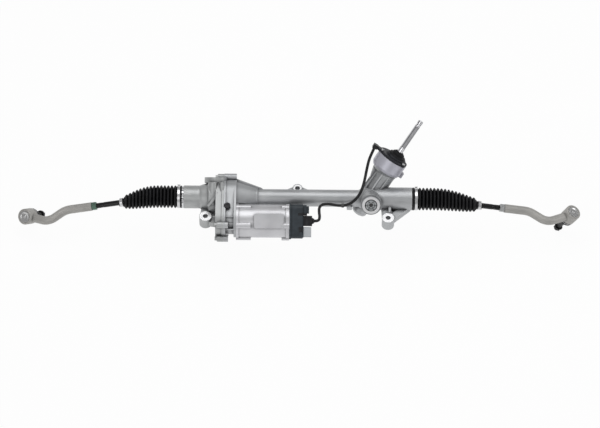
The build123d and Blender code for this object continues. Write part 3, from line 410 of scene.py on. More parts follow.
def bumped(material, height, strength, distance, normal):
    """A bump node on top of a normal. Returns the new normal."""
    node = material.node_tree.nodes.new("ShaderNodeBump")
    feed(node, Strength=strength, Distance=distance, Height=height, Normal=normal)
    return node.outputs["Normal"]


# %% [markdown]
# The castings are die-cast aluminium. Its skin is duller than machined metal, so it is only partly
# metallic. The machined faces on the mounting bosses are masked in, with the rings a cutter
# leaves.

# %% Cast aluminium
PINION_AT = Vector(joints["pinion_spin"]["pos_m"])
UP_SHAFT = Vector(joints["pinion_spin"]["axis"])
TO_YOKE = Vector((0, -cos(radians(33)), sin(radians(33))))
YOKE_AT = place(195)
# Near-black colours painted into corners and slots as shade.
CORNER_SHADE = (0.05, 0.05, 0.05)
CAST_CORNER_SHADE = (0.05, 0.05, 0.055)
FRESH_CUT = (0.88, 0.88, 0.89)
RING_DENSITY = 9000.0
BOSS_SPOT = 0.0152
EAR_SPOT = 0.0105
SPOT_FROM = -0.0003


def cast_metal(
    name, dark, light, rough, spots=(), tint=None, edge_radius=0.0014, sand=0.3, reach=0.009
):
    """Die-cast aluminium: sandy skin, cloudy colour, rubbed edges and machined spots.

    A spot gives (centre, axis, radius, start), and a tint the same and its colour.
    """
    material, tree, shader = new_material(name)
    skin = use_group(material, cast_skin)
    edge = use_group(material, soft_edge, Radius=edge_radius)
    color = ramp(material, skin.outputs["Patches"], dark, light, 0.32, 0.68)
    if tint:
        centre, axis, radius, start, tinted = tint
        zone = use_group(
            material, machined_spot, Centre=centre, Axis=axis, Radius=radius, From=start
        )
        color = mixed(material, zone.outputs["Mask"], color, tinted)
    rubbed = [min(1.0, value * 1.22) for value in light]
    color = mixed(material, edge.outputs["Edge"], color, rubbed)
    # Painted shade: the colour darkens towards near-black in corners and slots.
    color = corner_shaded(material, color, CAST_CORNER_SHADE, reach)
    roughness = spread(material, skin.outputs["Patches"], rough - 0.07, rough + 0.07)
    height = skin.outputs["Sand"]
    for centre, axis, radius, start in spots:
        spot = use_group(
            material, machined_spot, Centre=centre, Axis=axis, Radius=radius, From=start
        )
        phase = number(tree, "MULTIPLY", spot.outputs["Distance"], RING_DENSITY)
        rings = number(tree, "MULTIPLY_ADD", number(tree, "SINE", phase), 0.12, 0.5)
        keep = number(tree, "SUBTRACT", 1.0, spot.outputs["Mask"])
        color = mixed(material, spot.outputs["Mask"], color, FRESH_CUT)
        roughness = number(tree, "MULTIPLY_ADD", spot.outputs["Mask"], -0.12, roughness)
        masked_rings = number(tree, "MULTIPLY", rings, spot.outputs["Mask"])
        height = number(tree, "MULTIPLY_ADD", height, keep, masked_rings)
    normal = bumped(material, height, sand, 0.0004, edge.outputs["Normal"])
    feed(shader, Base_Color=color, Roughness=roughness, Normal=normal, Metallic=0.7)
    return material


housing_spots = [
    (tuple(place(239.4, -62, 0)), (0, 0, 1), BOSS_SPOT, SPOT_FROM),
    (tuple(place(5.8, 26, 8.5)), (0, 0, 1), EAR_SPOT, SPOT_FROM),
    (tuple(YOKE_AT), tuple(TO_YOKE), 0.0225, 0.0542),
]
bowl_tint = (tuple(PINION_AT), tuple(UP_SHAFT), 0.06, 0.084, (0.52, 0.52, 0.58))
casting = cast_metal(
    "die_cast_aluminium", (0.40, 0.41, 0.42), (0.50, 0.51, 0.52), 0.45, housing_spots, bowl_tint
)
cover_spots = [(tuple(place(-230, -62, 0)), (0, 0, 1), BOSS_SPOT, SPOT_FROM)]
cover_casting = cast_metal(
    "cover_casting", (0.38, 0.39, 0.39), (0.48, 0.49, 0.49), 0.46, cover_spots
)
# The socket's bore in the yoke plug is painted near-black: painted shade for the hole.
socket_shade_tint = (tuple(YOKE_AT), tuple(TO_YOKE), 0.0046, 0.04, (0.02, 0.02, 0.02))
plug_metal = cast_metal(
    "yoke_plug_metal", (0.40, 0.42, 0.43), (0.50, 0.52, 0.53), 0.36,
    tint=socket_shade_tint, edge_radius=0.0006, sand=0.15, reach=0.0035,
)
motor_casting = cast_metal(
    "bright_cast_can", (0.54, 0.54, 0.56), (0.64, 0.64, 0.66), 0.38, sand=0.2
)
print("materials so far:", len(bpy.data.materials))

# %% [markdown]
# Plain metal parts share one recipe: a base colour, a light grain and a soft edge. The grain is
# stretched along or across the part, as a lathe or a grinding belt leaves it.

# %% Steel and other metals
def make_streaks():
    """Fine streaks along one axis, as turning or drawing leaves them."""
    group, given, out = node_group(
        "streaks",
        [("vector", "Stretch", (1.0, 1.0, 1.0)), ("float", "Size", 300.0)],
        [("float", "Streaks")],
    )
    where = group.nodes.new("ShaderNodeTexCoord")
    texture = group.nodes.new("ShaderNodeTexNoise")
    scaled = vector(group, "MULTIPLY", where.outputs["Object"], given.outputs["Stretch"])
    feed(texture, Detail=2.0, Vector=scaled, Scale=given.outputs["Size"])
    feed(out, Streaks=texture.outputs["Fac"])
    return group


streaks = make_streaks()


def metal(name, color, rough, stretch, size, depth=0.15, metallic=1.0, coat=0.0):
    """Metal with a stretched grain in its colour, gloss and surface."""
    material, _, shader = new_material(name)
    grain = use_group(material, streaks, Stretch=stretch, Size=size)
    rounded = use_group(material, soft_edge, Radius=0.0006)
    darker = [value * 0.82 for value in color]
    tone = ramp(material, grain.outputs["Streaks"], darker, color, 0.35, 0.65)
    worn = [min(1.0, value * 1.25 + 0.03) for value in color]
    # Painted shade: the colour is darkened in corners and slots.
    shade_color = [value * 0.15 for value in color]
    color = corner_shaded(material, mixed(material, rounded.outputs["Edge"], tone, worn), shade_color, 0.004)
    roughness = spread(material, grain.outputs["Streaks"], rough - 0.06, rough + 0.08)
    normal = bumped(material, grain.outputs["Streaks"], depth, 0.0003, rounded.outputs["Normal"])
    feed(shader, Base_Color=color, Roughness=roughness, Normal=normal, Metallic=metallic)
    if coat:
        feed(shader, Coat_Weight=coat, Coat_Roughness=0.08)
    return material


EVEN = (1, 1, 1)
machined = metal("machined_face", (0.74, 0.75, 0.76), 0.30, (1, 1, 0.1), 700)
polished_steel = metal("ground_shaft", (0.62, 0.62, 0.64), 0.20, EVEN, 160, 0.01)
zinc = metal("zinc_plate", (0.55, 0.56, 0.56), 0.36, EVEN, 420, 0.1)
olive_zinc = metal("olive_zinc_plate", (0.15, 0.24, 0.19), 0.36, EVEN, 420, 0.1)
phosphate = metal("dark_phosphate", (0.09, 0.09, 0.09), 0.45, EVEN, 800, 0.2)
band_steel = metal("stainless_band", (0.70, 0.70, 0.71), 0.27, (1, 6, 6), 500, 0.05)
cap_steel = metal("rolled_cap", (0.66, 0.66, 0.66), 0.24, EVEN, 300, 0.05)
black_coat = metal("gloss_black_coat", (0.006, 0.006, 0.007), 0.24, EVEN, 260, 0.05, 0.0, 0.12)
feed(black_coat.node_tree.nodes["Principled BSDF"], Specular_IOR_Level=0.3)
copper = metal("enamelled_winding", (0.45, 0.17, 0.07), 0.38, (12, 1, 1), 240, 0.4, 0.6)
magnet = metal("coated_magnet", (0.16, 0.16, 0.17), 0.4, EVEN, 300, 0.1)
print("materials so far:", len(bpy.data.materials))

# %% [markdown]
# The input shaft is ground bright. Two dark lines run along its front, one on each side of the
# shaft's middle plane: painted shade that stands in for the edges of a flat.

# %% Input shaft
SHADE_LINE_ASIDE = 0.0041
SHADE_LINE_HALF = 0.0011
SHADE_LINE_FRONT = 0.002
SHANK_FROM = 0.158


def shaft_metal():
    """Bright ground steel with two painted shade lines along its front."""
    material, tree, shader = new_material("bright_shaft")
    where = tree.nodes.new("ShaderNodeTexCoord").outputs["Object"]
    offset = vector(tree, "SUBTRACT", where, tuple(PINION_AT))
    across_shaft = TO_YOKE.cross(UP_SHAFT).normalized()
    # Two lines beside the middle plane, on the front only, are painted near-black as shade.
    aside = number(tree, "ABSOLUTE", vector(tree, "DOT_PRODUCT", offset, tuple(across_shaft)))
    off_line = number(tree, "ABSOLUTE", number(tree, "SUBTRACT", aside, SHADE_LINE_ASIDE))
    faded = number(tree, "DIVIDE", off_line, SHADE_LINE_HALF)
    shade_line_mask = number(tree, "SUBTRACT", 1.0, faded, clamp=True)
    along = vector(tree, "DOT_PRODUCT", offset, tuple(UP_SHAFT))
    forward = vector(tree, "DOT_PRODUCT", offset, tuple(TO_YOKE))
    front = number(tree, "GREATER_THAN", forward, SHADE_LINE_FRONT)
    on_shank = number(tree, "GREATER_THAN", along, SHANK_FROM)
    masked = number(tree, "MULTIPLY", shade_line_mask, number(tree, "MULTIPLY", on_shank, front))
    grain = use_group(material, streaks, Stretch=EVEN, Size=90.0)
    grain_mask = grain.outputs["Streaks"]
    rounded = use_group(material, soft_edge, Radius=0.0004)
    tone = ramp(material, grain_mask, (0.62, 0.62, 0.64), (0.74, 0.74, 0.76), 0.3, 0.7)
    # Painted shade: the dark lines on the front, then darkening in corners and slots.
    color = corner_shaded(material, mixed(material, masked, tone, (0.03, 0.03, 0.035)), CORNER_SHADE, 0.003)
    roughness = spread(material, grain_mask, 0.12, 0.22)
    normal = rounded.outputs["Normal"]
    feed(shader, Base_Color=color, Roughness=roughness, Normal=normal, Metallic=1.0)
    return material


shaft_steel = shaft_metal()
print("input shaft:", shaft_steel.name)

# %% [markdown]
# The tie rod ends are forgings: shot-blasted, then coated matt grey. The blasting leaves shallow
# dimples, which a Voronoi texture gives better than noise does. Where the two dies met, a thin
# line runs along the arm, in the plane in which the arm bends.

# %% Forged steel
FORGE_GREY = (0.44, 0.43, 0.41)
FORGE_ROUGH = 0.5
SEAM_HALF = 0.0007


def forged(name, joint_at, rod):
    """Shot-blasted forging under a matt coat, with the dies' parting line."""
    material, tree, shader = new_material(name)
    where = tree.nodes.new("ShaderNodeTexCoord").outputs["Object"]
    dimples = tree.nodes.new("ShaderNodeTexVoronoi")
    dimples.feature = "SMOOTH_F1"
    feed(dimples, Scale=520.0, Vector=where)
    skin = use_group(material, cast_skin, Sand_size=700.0, Patch_size=30.0)
    rounded = use_group(material, soft_edge, Radius=0.0015)
    patches = skin.outputs["Patches"]
    darker = [value * 0.84 for value in FORGE_GREY]
    worn = [value * 1.2 for value in FORGE_GREY]
    tone = ramp(material, patches, darker, FORGE_GREY, 0.3, 0.7)
    color = mixed(material, rounded.outputs["Edge"], tone, worn)
    roughness = spread(material, patches, FORGE_ROUGH - 0.06, FORGE_ROUGH + 0.06)
    # Painted shade: the colour is darkened in corners and slots.
    color = corner_shaded(material, color, CORNER_SHADE, 0.006)
    # the parting plane holds the rod and the Y axis
    normal_of_plane = Vector(rod).cross(Vector((0, 1, 0)))
    offset = vector(tree, "SUBTRACT", where, tuple(joint_at))
    off_plane = vector(tree, "DOT_PRODUCT", offset, tuple(normal_of_plane))
    faded = number(tree, "DIVIDE", number(tree, "ABSOLUTE", off_plane), SEAM_HALF)
    seam = number(tree, "SUBTRACT", 1.0, faded, clamp=True)
    normal = bumped(material, dimples.outputs["Distance"], 0.35, 0.0005, rounded.outputs["Normal"])
    normal = bumped(material, seam, 0.8, 0.0006, normal)
    normal = bumped(material, skin.outputs["Sand"], 0.25, 0.0003, normal)
    feed(shader, Base_Color=color, Roughness=roughness, Normal=normal, Metallic=0.35)
    return material


# %% [markdown]
# Rubber and plastic differ mostly in gloss and grain. Moulded rubber has a satin bloom with dusty
# patches, and moulded plastic a fine even texture.

# %% Rubber and plastic
def moulded(name, color, rough, grain=1100.0, depth=0.12, bloom=1.6, shine=0.3):
    """Moulded rubber or plastic: even grain, patchy bloom and soft edges."""
    material, _, shader = new_material(name)
    skin = use_group(material, cast_skin, Sand_size=grain, Patch_size=45.0)
    rounded = use_group(material, soft_edge, Radius=0.0005)
    patches = skin.outputs["Patches"]
    hazy = [min(1.0, value * bloom + 0.002) for value in color]
    # Painted shade: the colour is darkened in corners and slots.
    shade_color = [value * 0.2 for value in color]
    tone = ramp(material, patches, color, hazy, 0.4, 0.75)
    color = corner_shaded(material, mixed(material, rounded.outputs["Edge"], tone, hazy), shade_color, 0.005)
    roughness = spread(material, patches, rough - 0.07, rough + 0.10)
    normal = bumped(material, skin.outputs["Sand"], depth, 0.0003, rounded.outputs["Normal"])
    feed(shader, Base_Color=color, Roughness=roughness, Normal=normal, Specular_IOR_Level=shine)
    return material


bellows_rubber = moulded("bellows_rubber", (0.005, 0.005, 0.006), 0.46, shine=0.22)
boot_rubber = moulded("boot_rubber", (0.006, 0.006, 0.007), 0.58, depth=0.05, shine=0.22)
sheath = moulded("lead_sheath", (0.010, 0.010, 0.011), 0.44, 700.0)
belt_rubber = moulded("belt_rubber", (0.02, 0.02, 0.02), 0.65)
black_plastic = moulded("black_plastic", (0.012, 0.012, 0.014), 0.40, 1500.0)
cap_plastic = moulded("cap_plastic", (0.010, 0.011, 0.015), 0.50, 1500.0, 0.08)
charcoal_plastic = moulded("charcoal_plastic", (0.028, 0.035, 0.042), 0.48, 1400.0, 0.2)
grey_plastic = moulded("grey_plastic", (0.50, 0.52, 0.54), 0.42, 1500.0, 0.1, 1.1)
bearing_plastic = moulded("bearing_plastic", (0.62, 0.60, 0.50), 0.40, 1500.0, 0.1, 1.1)
print("materials:", len(bpy.data.materials))

# %% [markdown]
# ## Tools for new pieces
# Nearly every new piece is turned, stacked from rings or wound. Turning spins an outline about a
# line. Stacking extrudes a ring again and again and moves each new ring. A ring's radius may
# depend on the angle, which gives nuts and slots. Winding spins a small outline while it moves
# along.

# %% Putting a finished mesh in the scene
def shown(name, bm, material, body, slot, sharp=38):
    """Merges a mesh, turns its faces outwards, and puts it in the scene riding on a body."""
    bmesh.ops.remove_doubles(bm, verts=bm.verts, dist=1e-6)
    bmesh.ops.dissolve_degenerate(bm, edges=bm.edges, dist=1e-7)
    bmesh.ops.recalc_face_normals(bm, faces=bm.faces)
    mesh = bpy.data.meshes.new(name)
    bm.to_mesh(mesh)
    bm.free()
    mesh.shade_smooth()
    mesh.set_sharp_from_angle(angle=radians(sharp))
    mesh.materials.append(material)
    piece = bpy.data.objects.new(name, mesh)
    bpy.context.scene.collection.objects.link(piece)
    if body:
        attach(piece, body)
    return piece


# %% Turning
def turned(bm, line, outline, steps=72):
    """Spins a closed outline of (along, radius) about a line, and returns its points."""
    before = set(bm.verts)
    points = [bm.verts.new(Vector((along, radius, 0)) * MM) for along, radius in outline]
    edges = [bm.edges.new(pair) for pair in zip(points, points[1:] + points[:1])]
    bmesh.ops.spin(
        bm, geom=points + edges, cent=(0, 0, 0), axis=(1, 0, 0),
        angle=2 * pi, steps=steps, use_merge=True,
    )
    fresh = [vert for vert in bm.verts if vert not in before]
    bmesh.ops.transform(bm, matrix=line.matrix, verts=fresh)
    return fresh


def ring(name, line, outline, steps, *looks):
    """Shows one turned outline as a piece: looks are its material, body, slot and sharp angle. The
    slot is not used.
    """
    bm = bmesh.new()
    turned(bm, line, outline, steps)
    return shown(name, bm, *looks)


# %% Stacking rings
def stacked(bm, line, levels, segments):
    """Extrudes a ring from level to level and joins the last ring to the first.

    A level gives (along, radius), each a number or a function of the angle.
    """
    before = set(bm.verts)
    first = bmesh.ops.create_circle(bm, segments=segments, radius=1)["verts"]
    angle_of = {vert: atan2(vert.co.y, vert.co.x) for vert in first}
    edges = list({edge for vert in first for edge in vert.link_edges})
    start_edges = edges
    current = first
    for index, (along, radius) in enumerate(levels):
        if index:
            grown = bmesh.ops.extrude_edge_only(bm, edges=edges)["geom"]
            fresh = [item for item in grown if isinstance(item, bmesh.types.BMVert)]
            edges = [item for item in grown if isinstance(item, bmesh.types.BMEdge)]
            for vert in fresh:
                angle_of[vert] = atan2(vert.co.z, vert.co.y)
            current = fresh
        for vert in current:
            angle = angle_of[vert]
            reach = (radius(angle) if callable(radius) else radius) * MM
            depth = (along(angle) if callable(along) else along) * MM
            vert.co = (depth, reach * cos(angle), reach * sin(angle))
    bmesh.ops.bridge_loops(bm, edges=edges + start_edges)
    fresh = [vert for vert in bm.verts if vert not in before]
    bmesh.ops.transform(bm, matrix=line.matrix, verts=fresh)


# %% Hexagons with turned corners
def hexagon(across):
    """A hexagon's radius as a function of the angle, from its width across flats."""
    return lambda angle: across / 2 / cos((angle + pi / 6) % (pi / 3) - pi / 6)


def nut(bm, line, start, height, across, bore):
    """A nut: a bored hexagon whose corners are turned down by a cone at both ends."""
    radius = hexagon(across)
    face = 0.47 * across

    def drop(angle):
        return (radius(angle) - face) * tan(radians(30))

    levels = [
        (start, bore), (start, face),
        (lambda angle: start + drop(angle), radius),
        (lambda angle: start + height - drop(angle), radius),
        (start + height, face), (start + height, bore),
    ]
    stacked(bm, line, levels, 48)


# %% Threads
THREAD_PITCH = 1.5
STEPS_PER_TURN = 28


def wound(bm, line, outline, pitch, turns):
    """Winds a closed outline of (along, radius) round a line, with closed ends."""
    before = set(bm.verts)
    points = [bm.verts.new(Vector((along, radius, 0)) * MM) for along, radius in outline]
    end = bm.faces.new(points)
    steps = round(turns * STEPS_PER_TURN)
    bmesh.ops.spin(
        bm, geom=[end], cent=(0, 0, 0), axis=(1, 0, 0), dvec=(pitch * MM / STEPS_PER_TURN, 0, 0),
        angle=2 * pi * steps / STEPS_PER_TURN, steps=steps,
    )
    fresh = [vert for vert in bm.verts if vert not in before]
    bmesh.ops.transform(bm, matrix=line.matrix, verts=fresh)


def thread(bm, line, start, length, radius, depth):
    """A screw thread's ridge, proud of a plain shank."""
    root, crest = radius - 0.3, radius + depth
    ridge = ((0.0, root), (0.48, crest), (0.56, crest), (0.96, root))
    outline = [(start + THREAD_PITCH * share, reach) for share, reach in ridge]
    wound(bm, line, outline, THREAD_PITCH, length / THREAD_PITCH - 1)


print("groups:", [group.name for group in bpy.data.node_groups])

# %% [markdown]
# ## The two ends
# Both ends of the rack carry the same pieces, in other sizes. One record per end keeps where its
# rod starts and how far it hangs, where its bellows begin and end, and where its outer joint's
# stud points.

# %% Sizes of the two ends
INNER_JOINT = 340.6


class End:
    """One end of the rack: its lines and the lengths that differ from the other end."""

    def __init__(self, name, sign, *, ear, droop, cuff, fold, folds_a, folds_b, neck, nut_at):
        self.name, self.sign, self.ear = name, sign, ear
        self.droop = radians(droop)
        self.cuff, self.fold, self.folds_a, self.folds_b = cuff, fold, folds_a, folds_b
        self.neck, self.nut_at = neck, nut_at
        self.rack = Line(place(0), (sign, 0, 0))
        self.rod = Line(place(sign * INNER_JOINT), (sign * cos(self.droop), 0, -sin(self.droop)))
        spin = joints[f"stud_{name}_spin"]
        self.stud = Line(spin["pos_m"], spin["axis"], (0, 1, 0))
        self.neck_x = INNER_JOINT + neck * cos(self.droop)

    def body(self, kind):
        """The name of a body at this end, such as tie_rod_left."""
        return f"{kind}_{self.name}"


left = End(
    "left", -1, ear=1, droop=13.3, cuff=289.0, fold=9.1, folds_a=8, folds_b=7,
    neck=104.0, nut_at=177.6,
)
right = End(
    "right", 1, ear=-1, droop=10.0, cuff=301.0, fold=9.4, folds_a=8, folds_b=8,
    neck=131.0, nut_at=191.2,
)
ends = (left, right)
print("necks of the bellows:", [round(end.neck_x, 1) for end in ends])

# %% Forgings of both ends
for end in ends:
    end.forging = forged(f"{end.name}_forging", end.stud.start, end.rod.direction)
print("forgings:", [end.forging.name for end in ends])

# %% [markdown]
# ## Bellows
# A steering bellows is a blow-moulded rubber sleeve. It is turned from one outline of rounded
# crests and narrow valleys, with an inner outline a wall deeper, so it is a closed skin. Its axis
# bends down from the rack's line to the rod's, which a smooth lowering of its points gives. In
# use, when the rack slides, the folds between the housing and the rack's end are pressed together,
# and when the rod swings, the folds beyond the rack's end bend. The sleeve is made of two
# overlapping lengths: the first goes from housing to rack, and the second from rack to tie rod;
# neither follows a body. A piece can follow only two bodies.

# %% The outline of the folds
TAPER_FROM = 356
CREST, CREST_LOSS = 29.2, 12.5
VALLEY, VALLEY_LOSS = 22.0, 9.5
FOLD_POINTS = 10


def taper(end, at):
    """How far the folds have narrowed, from 0 to 1 at the neck."""
    return max(0.0, (at - TAPER_FROM) / (end.neck_x - TAPER_FROM))


def crest(end, at):
    """The radius of the crests at a distance from the rack's middle."""
    return CREST - CREST_LOSS * taper(end, at) ** 2.2


def valley(end, at):
    """The radius of the valleys at a distance from the rack's middle."""
    return VALLEY - VALLEY_LOSS * taper(end, at) ** 2


def folds(end, start, count):
    """Outline points (along, radius) of a run of rounded folds."""
    outline = []
    for index in range(count * FOLD_POINTS + 1):
        at = start + end.fold * index / FOLD_POINTS
        wave = abs(sin(pi * index / FOLD_POINTS)) ** 0.72
        outline.append((at, valley(end, at) + (crest(end, at) - valley(end, at)) * wave))
    return outline


def skin_of(outline, wall):
    """Closes an outline with the same outline a wall deeper."""
    return outline + [(along, radius - wall) for along, radius in reversed(outline)]


def lowered(end, verts):
    """Bends a sleeve from the rack's line to the rod's line."""
    span = end.neck_x - INNER_JOINT
    for vert in verts:
        beyond = abs(vert.co.x - RACK_X) / MM - INNER_JOINT
        if beyond > 0:
            share = min(1.0, beyond / span)
            depth = span * (3 * share**3 - 2 * share**4) + max(0.0, beyond - span)
            vert.co.z -= depth * tan(end.droop) * MM


# %% Two lengths of bellows for each end
CUFF_LENGTH = 15.5

for end in ends:
    cuff_end = end.cuff + CUFF_LENGTH
    run = end.folds_a * end.fold
    split = cuff_end + run
    bm = bmesh.new()
    outline = [(cuff_end - 9, 24.6), (cuff_end - 8.5, 24.9)] + folds(end, cuff_end, end.folds_a)
    lowered(end, turned(bm, end.rack, skin_of(outline, 1.1)))
    first = shown(f"bellows_{end.name}_slide", bm, bellows_rubber, None, "bellows_rubber", 60)
    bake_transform(first)
    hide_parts(f"bellows_{end.name}")

    bm = bmesh.new()
    inner = valley(end, split)
    outline = [(split - 8, inner - 1.6), (split - 1, inner - 1.2)] + folds(end, split, end.folds_b)
    neck = ((-1, 11.2), (1, 10.2), (12, 10.2), (12.4, 9.6), (12.4, 8.6))
    outline.append((outline[-1][0] + 1.6, 13.5))
    outline += [(end.neck_x + along, radius) for along, radius in neck]
    lowered(end, turned(bm, end.rack, skin_of(outline, 1.0)))
    second = shown(f"bellows_{end.name}_swing", bm, bellows_rubber, None, "bellows_rubber", 60)
    end.body("tie_rod")
    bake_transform(second)
    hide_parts(f"bellows_{end.name}")
    print(end.name, "bellows:", end.folds_a + end.folds_b, "folds, split at", round(split, 1))

# %% [markdown]
# The mouth of the bellows is thicker and smooth. It grips a turned seat on the housing and stays
# with it. At the left it butts against a bright ring with slots, which lets air past the seat.

# %% Cuffs on the housing
mouths = {
    "left": [(2.8, 25.1), (2.8, 28.3), (3.6, 28.9), (5.8, 28.9), (7.0, 28.0)],
    "right": [(0.1, 25.1), (0.1, 27.8), (1.4, 29.2), (3.4, 29.6), (5.4, 29.2), (6.8, 28.0)],
}
seat = [(14.8, 28.0), (15.8, 27.0), (16.2, 24.2), (15.0, 25.1)]
for end in ends:
    outline = [(end.cuff + along, radius) for along, radius in mouths[end.name] + seat]
    name = f"bellows_{end.name}_cuff"
    cuff = ring(name, end.rack, outline, 72, bellows_rubber, "housing", "bellows_rubber")
    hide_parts(f"bellows_{end.name}")
print("cuffs at", left.cuff, "and", right.cuff)

# %% Slotted seat ring at the left
def slotted(angle):
    """The ring's radius: high on its teeth and low in its 16 slots."""
    return 28.4 if (angle * 48 / pi) % 6 < 4.8 else 26.0


bm = bmesh.new()
stacked(bm, left.rack, [(287.1, 25.05), (287.1, slotted), (291.7, slotted), (291.7, 25.05)], 96)
shown("seat_ring_left", bm, machined, "housing", "machined_aluminium", 30)
print("seat ring with 16 slots")

# %% [markdown]
# ## Clamps
# Each mouth is held by an ear clamp: a thin steel band whose ear is pinched shut. The band is
# turned, and the ear is a bevelled block that stands on it.

# %% Rounded blocks
def bevelled(bm, verts, offset, segments):
    """Rounds every edge of a block, and returns the block's new points."""
    edges = list({edge for vert in verts for edge in vert.link_edges})
    rounded = bmesh.ops.bevel(
        bm, geom=edges, offset=offset * MM, segments=segments, profile=0.5,
        affect="EDGES", material=-1,
    )
    return list({vert for face in rounded["faces"] for vert in face.verts})


# %% Ear clamps
def ear_clamp(name, line, start, width, radius, body, node, turn_to):
    """A pinched steel band round a mouth, with its ear turned to an angle about the line."""
    bm = bmesh.new()
    band = [(0, 0.05), (0, 0.8), (0.35, 1.15), (width - 0.35, 1.15), (width, 0.8), (width, 0.05)]
    turned(bm, line, [(start + along, radius + out) for along, out in band], 96)
    tall, long = (3.2, 6.5) if radius > 20 else (2.2, 4.5)
    ear = bmesh.ops.create_cube(bm, size=1)["verts"]
    bmesh.ops.scale(bm, vec=(width * MM, tall * MM, long * MM), verts=ear)
    ear = bevelled(bm, ear, 0.8, 3)
    middle = Vector((start + width / 2, radius + 1.0 + tall / 2, 0)) * MM
    bmesh.ops.translate(bm, vec=middle, verts=ear)
    bmesh.ops.transform(bm, matrix=line.matrix @ Matrix.Rotation(turn_to, 4, "X"), verts=ear)
    clamp = shown(name, bm, band_steel, body, "band_steel", 30)
    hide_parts(node)


for end in ends:
    ear_clamp(
        f"large_clamp_{end.name}", end.rack, end.cuff + 7.5, 7.0, 28.1,
        "housing", "large_clamps", end.ear * radians(60),
    )
    ear_clamp(
        f"small_clamp_{end.name}", end.rod, end.neck + 3, 7.5, 10.3,
        end.body("tie_rod"), f"small_clamp_{end.name}", end.ear * radians(150),
    )
names = [name for name in bpy.data.objects.keys() if name not in nodes]
print("clamps:", [name for name in names if "clamp_" in name])

# %% [markdown]
# ## Dust boots
# The outer ball joint is sealed by a small boot whose upper rim sits on the joint's housing while
# its lower rim turns with the stud. It is turned along the stud's line, and thin spring rings hold
# its rims.

# %% Boots of the outer joints
for end in ends:
    outline = [(15.1, 17.0), (14.4, 18.4), (15.4, 19.4), (18.2, 19.6), (19.4, 18.9), (21.0, 19.6)]
    outline += [(24.0, 18.8), (26.6, 16.4), (27.8, 13.6), (28.8, 12.4), (30.0, 12.0), (30.8, 11.0)]
    outline += [(32.2, 11.2), (33.0, 10.2), (32.6, 8.6), (30.6, 8.5), (28.0, 9.8), (25.8, 13.2)]
    outline += [(23.4, 16.6), (20.4, 17.4), (17.4, 16.8)]
    name = f"dust_boot_{end.name}_sleeve"
    boot = ring(name, end.stud, outline, 64, boot_rubber, None, "boot_rubber", 60)
    end.body("tie_rod")
    end.body("boot")
    end.stud.at(18)
    end.stud.at(31)
    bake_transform(boot)
    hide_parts(f"dust_boot_{end.name}")
    rims = (("upper", 17.2, 19.5, "tie_rod"), ("lower", 30.9, 11.2, "boot"))
    for label, at, radius, body in rims:
        eighths = [index * pi / 4 for index in range(8)]
        wire = [(at + 0.7 * cos(angle), radius + 0.7 * sin(angle)) for angle in eighths]
        name = f"boot_ring_{end.name}_{label}"
        ring(name, end.stud, wire, 64, band_steel, end.body(body), "band_steel")
print("boots on", [tuple(round(value, 3) for value in end.stud.direction) for end in ends])

# %% [markdown]
# The joint is closed by a pressed steel cap, and the forging's rim is rolled over it. The cap is
# dished, with a small boss in its middle where the press held it.

# %% Dished caps
for end in ends:
    outline = [(-16.3, 0.4), (-18.9, 0.4), (-19.1, 2.4), (-18.4, 3.6), (-16.9, 4.4), (-16.7, 9.4)]
    outline += [(-17.5, 10.6), (-18.0, 12.6), (-17.8, 14.2), (-16.3, 14.6)]
    body = end.body("tie_rod")
    ring(f"dished_cap_{end.name}", end.stud, outline, 64, cap_steel, body, "zinc_steel", 50)
    rim = [(-15.2, 14.8), (-17.2, 15.0), (-17.9, 16.4), (-17.6, 18.4), (-15.6, 20.3), (-14.2, 20.4)]
    ring(f"rolled_rim_{end.name}", end.stud, rim, 64, end.forging, body, "forged_steel", 50)
print("caps and rims on both joints")

# %% [markdown]
# ## Threads and nuts
# A rod's thread is one small ridge wound round it. The nuts are hexagons whose corners a cone has
# cut back, which gives the curved edges that every nut shows.

# %% Threads and lock nuts on the tie rods
for end in ends:
    bm = bmesh.new()
    thread(bm, end.rod, end.nut_at - 15, 15.5, 6.6, 0.45)
    shown(f"rod_thread_{end.name}", bm, black_coat, end.body("tie_rod"), "black_steel", 20)
    bm = bmesh.new()
    nut(bm, end.rod, end.nut_at, 12.5, 19.05, 6.7)
    finish = olive_zinc if end is left else zinc
    hexagon_nut = shown(f"jam_nut_{end.name}", bm, finish, end.body("tie_rod"), "zinc_steel", 25)
    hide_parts(f"lock_nut_{end.name}")
print("lock nuts at", [end.nut_at for end in ends])

# %% Threads and flanged nuts on the studs
for end in ends:
    bm = bmesh.new()
    thread(bm, end.stud, 54.2, 6.0, 6.0, 0.35)
    thread(bm, end.stud, 71.6, 3.4, 6.0, 0.35)
    shown(f"stud_thread_{end.name}", bm, phosphate, end.body("stud"), "ground_steel", 20)
    bm = bmesh.new()
    turned(bm, end.stud, [(60.4, 6.2), (60.4, 11.2), (61.2, 11.4), (62.4, 10.0), (62.4, 6.2)], 64)
    nut(bm, end.stud, 62.0, 8.6, 18.0, 6.2)
    turned(bm, end.stud, [(70.4, 6.1), (70.4, 8.3), (71.6, 8.1), (72.2, 7.2), (72.0, 6.1)], 64)
    flanged = shown(f"flanged_nut_{end.name}", bm, black_coat, end.body("stud"), "black_steel", 25)
    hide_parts(f"stud_nut_{end.name}")
names = [name for name in bpy.data.objects.keys() if name not in nodes]
print("nuts:", [name for name in names if "_nut_" in name])

# %% [markdown]
# The yoke's plug is screwed into a turned rim and sealed with a dark bead round its edge. A dark
# disc sits in its socket as painted shade, standing in for the shade in the hole.

# %% Bead and disc of the yoke's plug
plug_line = Line(YOKE_AT, TO_YOKE, (1, 0, 0))
bead = [(55.0, 15.0), (56.1, 14.1), (56.5, 14.6), (56.0, 15.6), (54.7, 16.2)]
ring("plug_bead", plug_line, bead, 64, boot_rubber, "housing", "boot_rubber", 40)
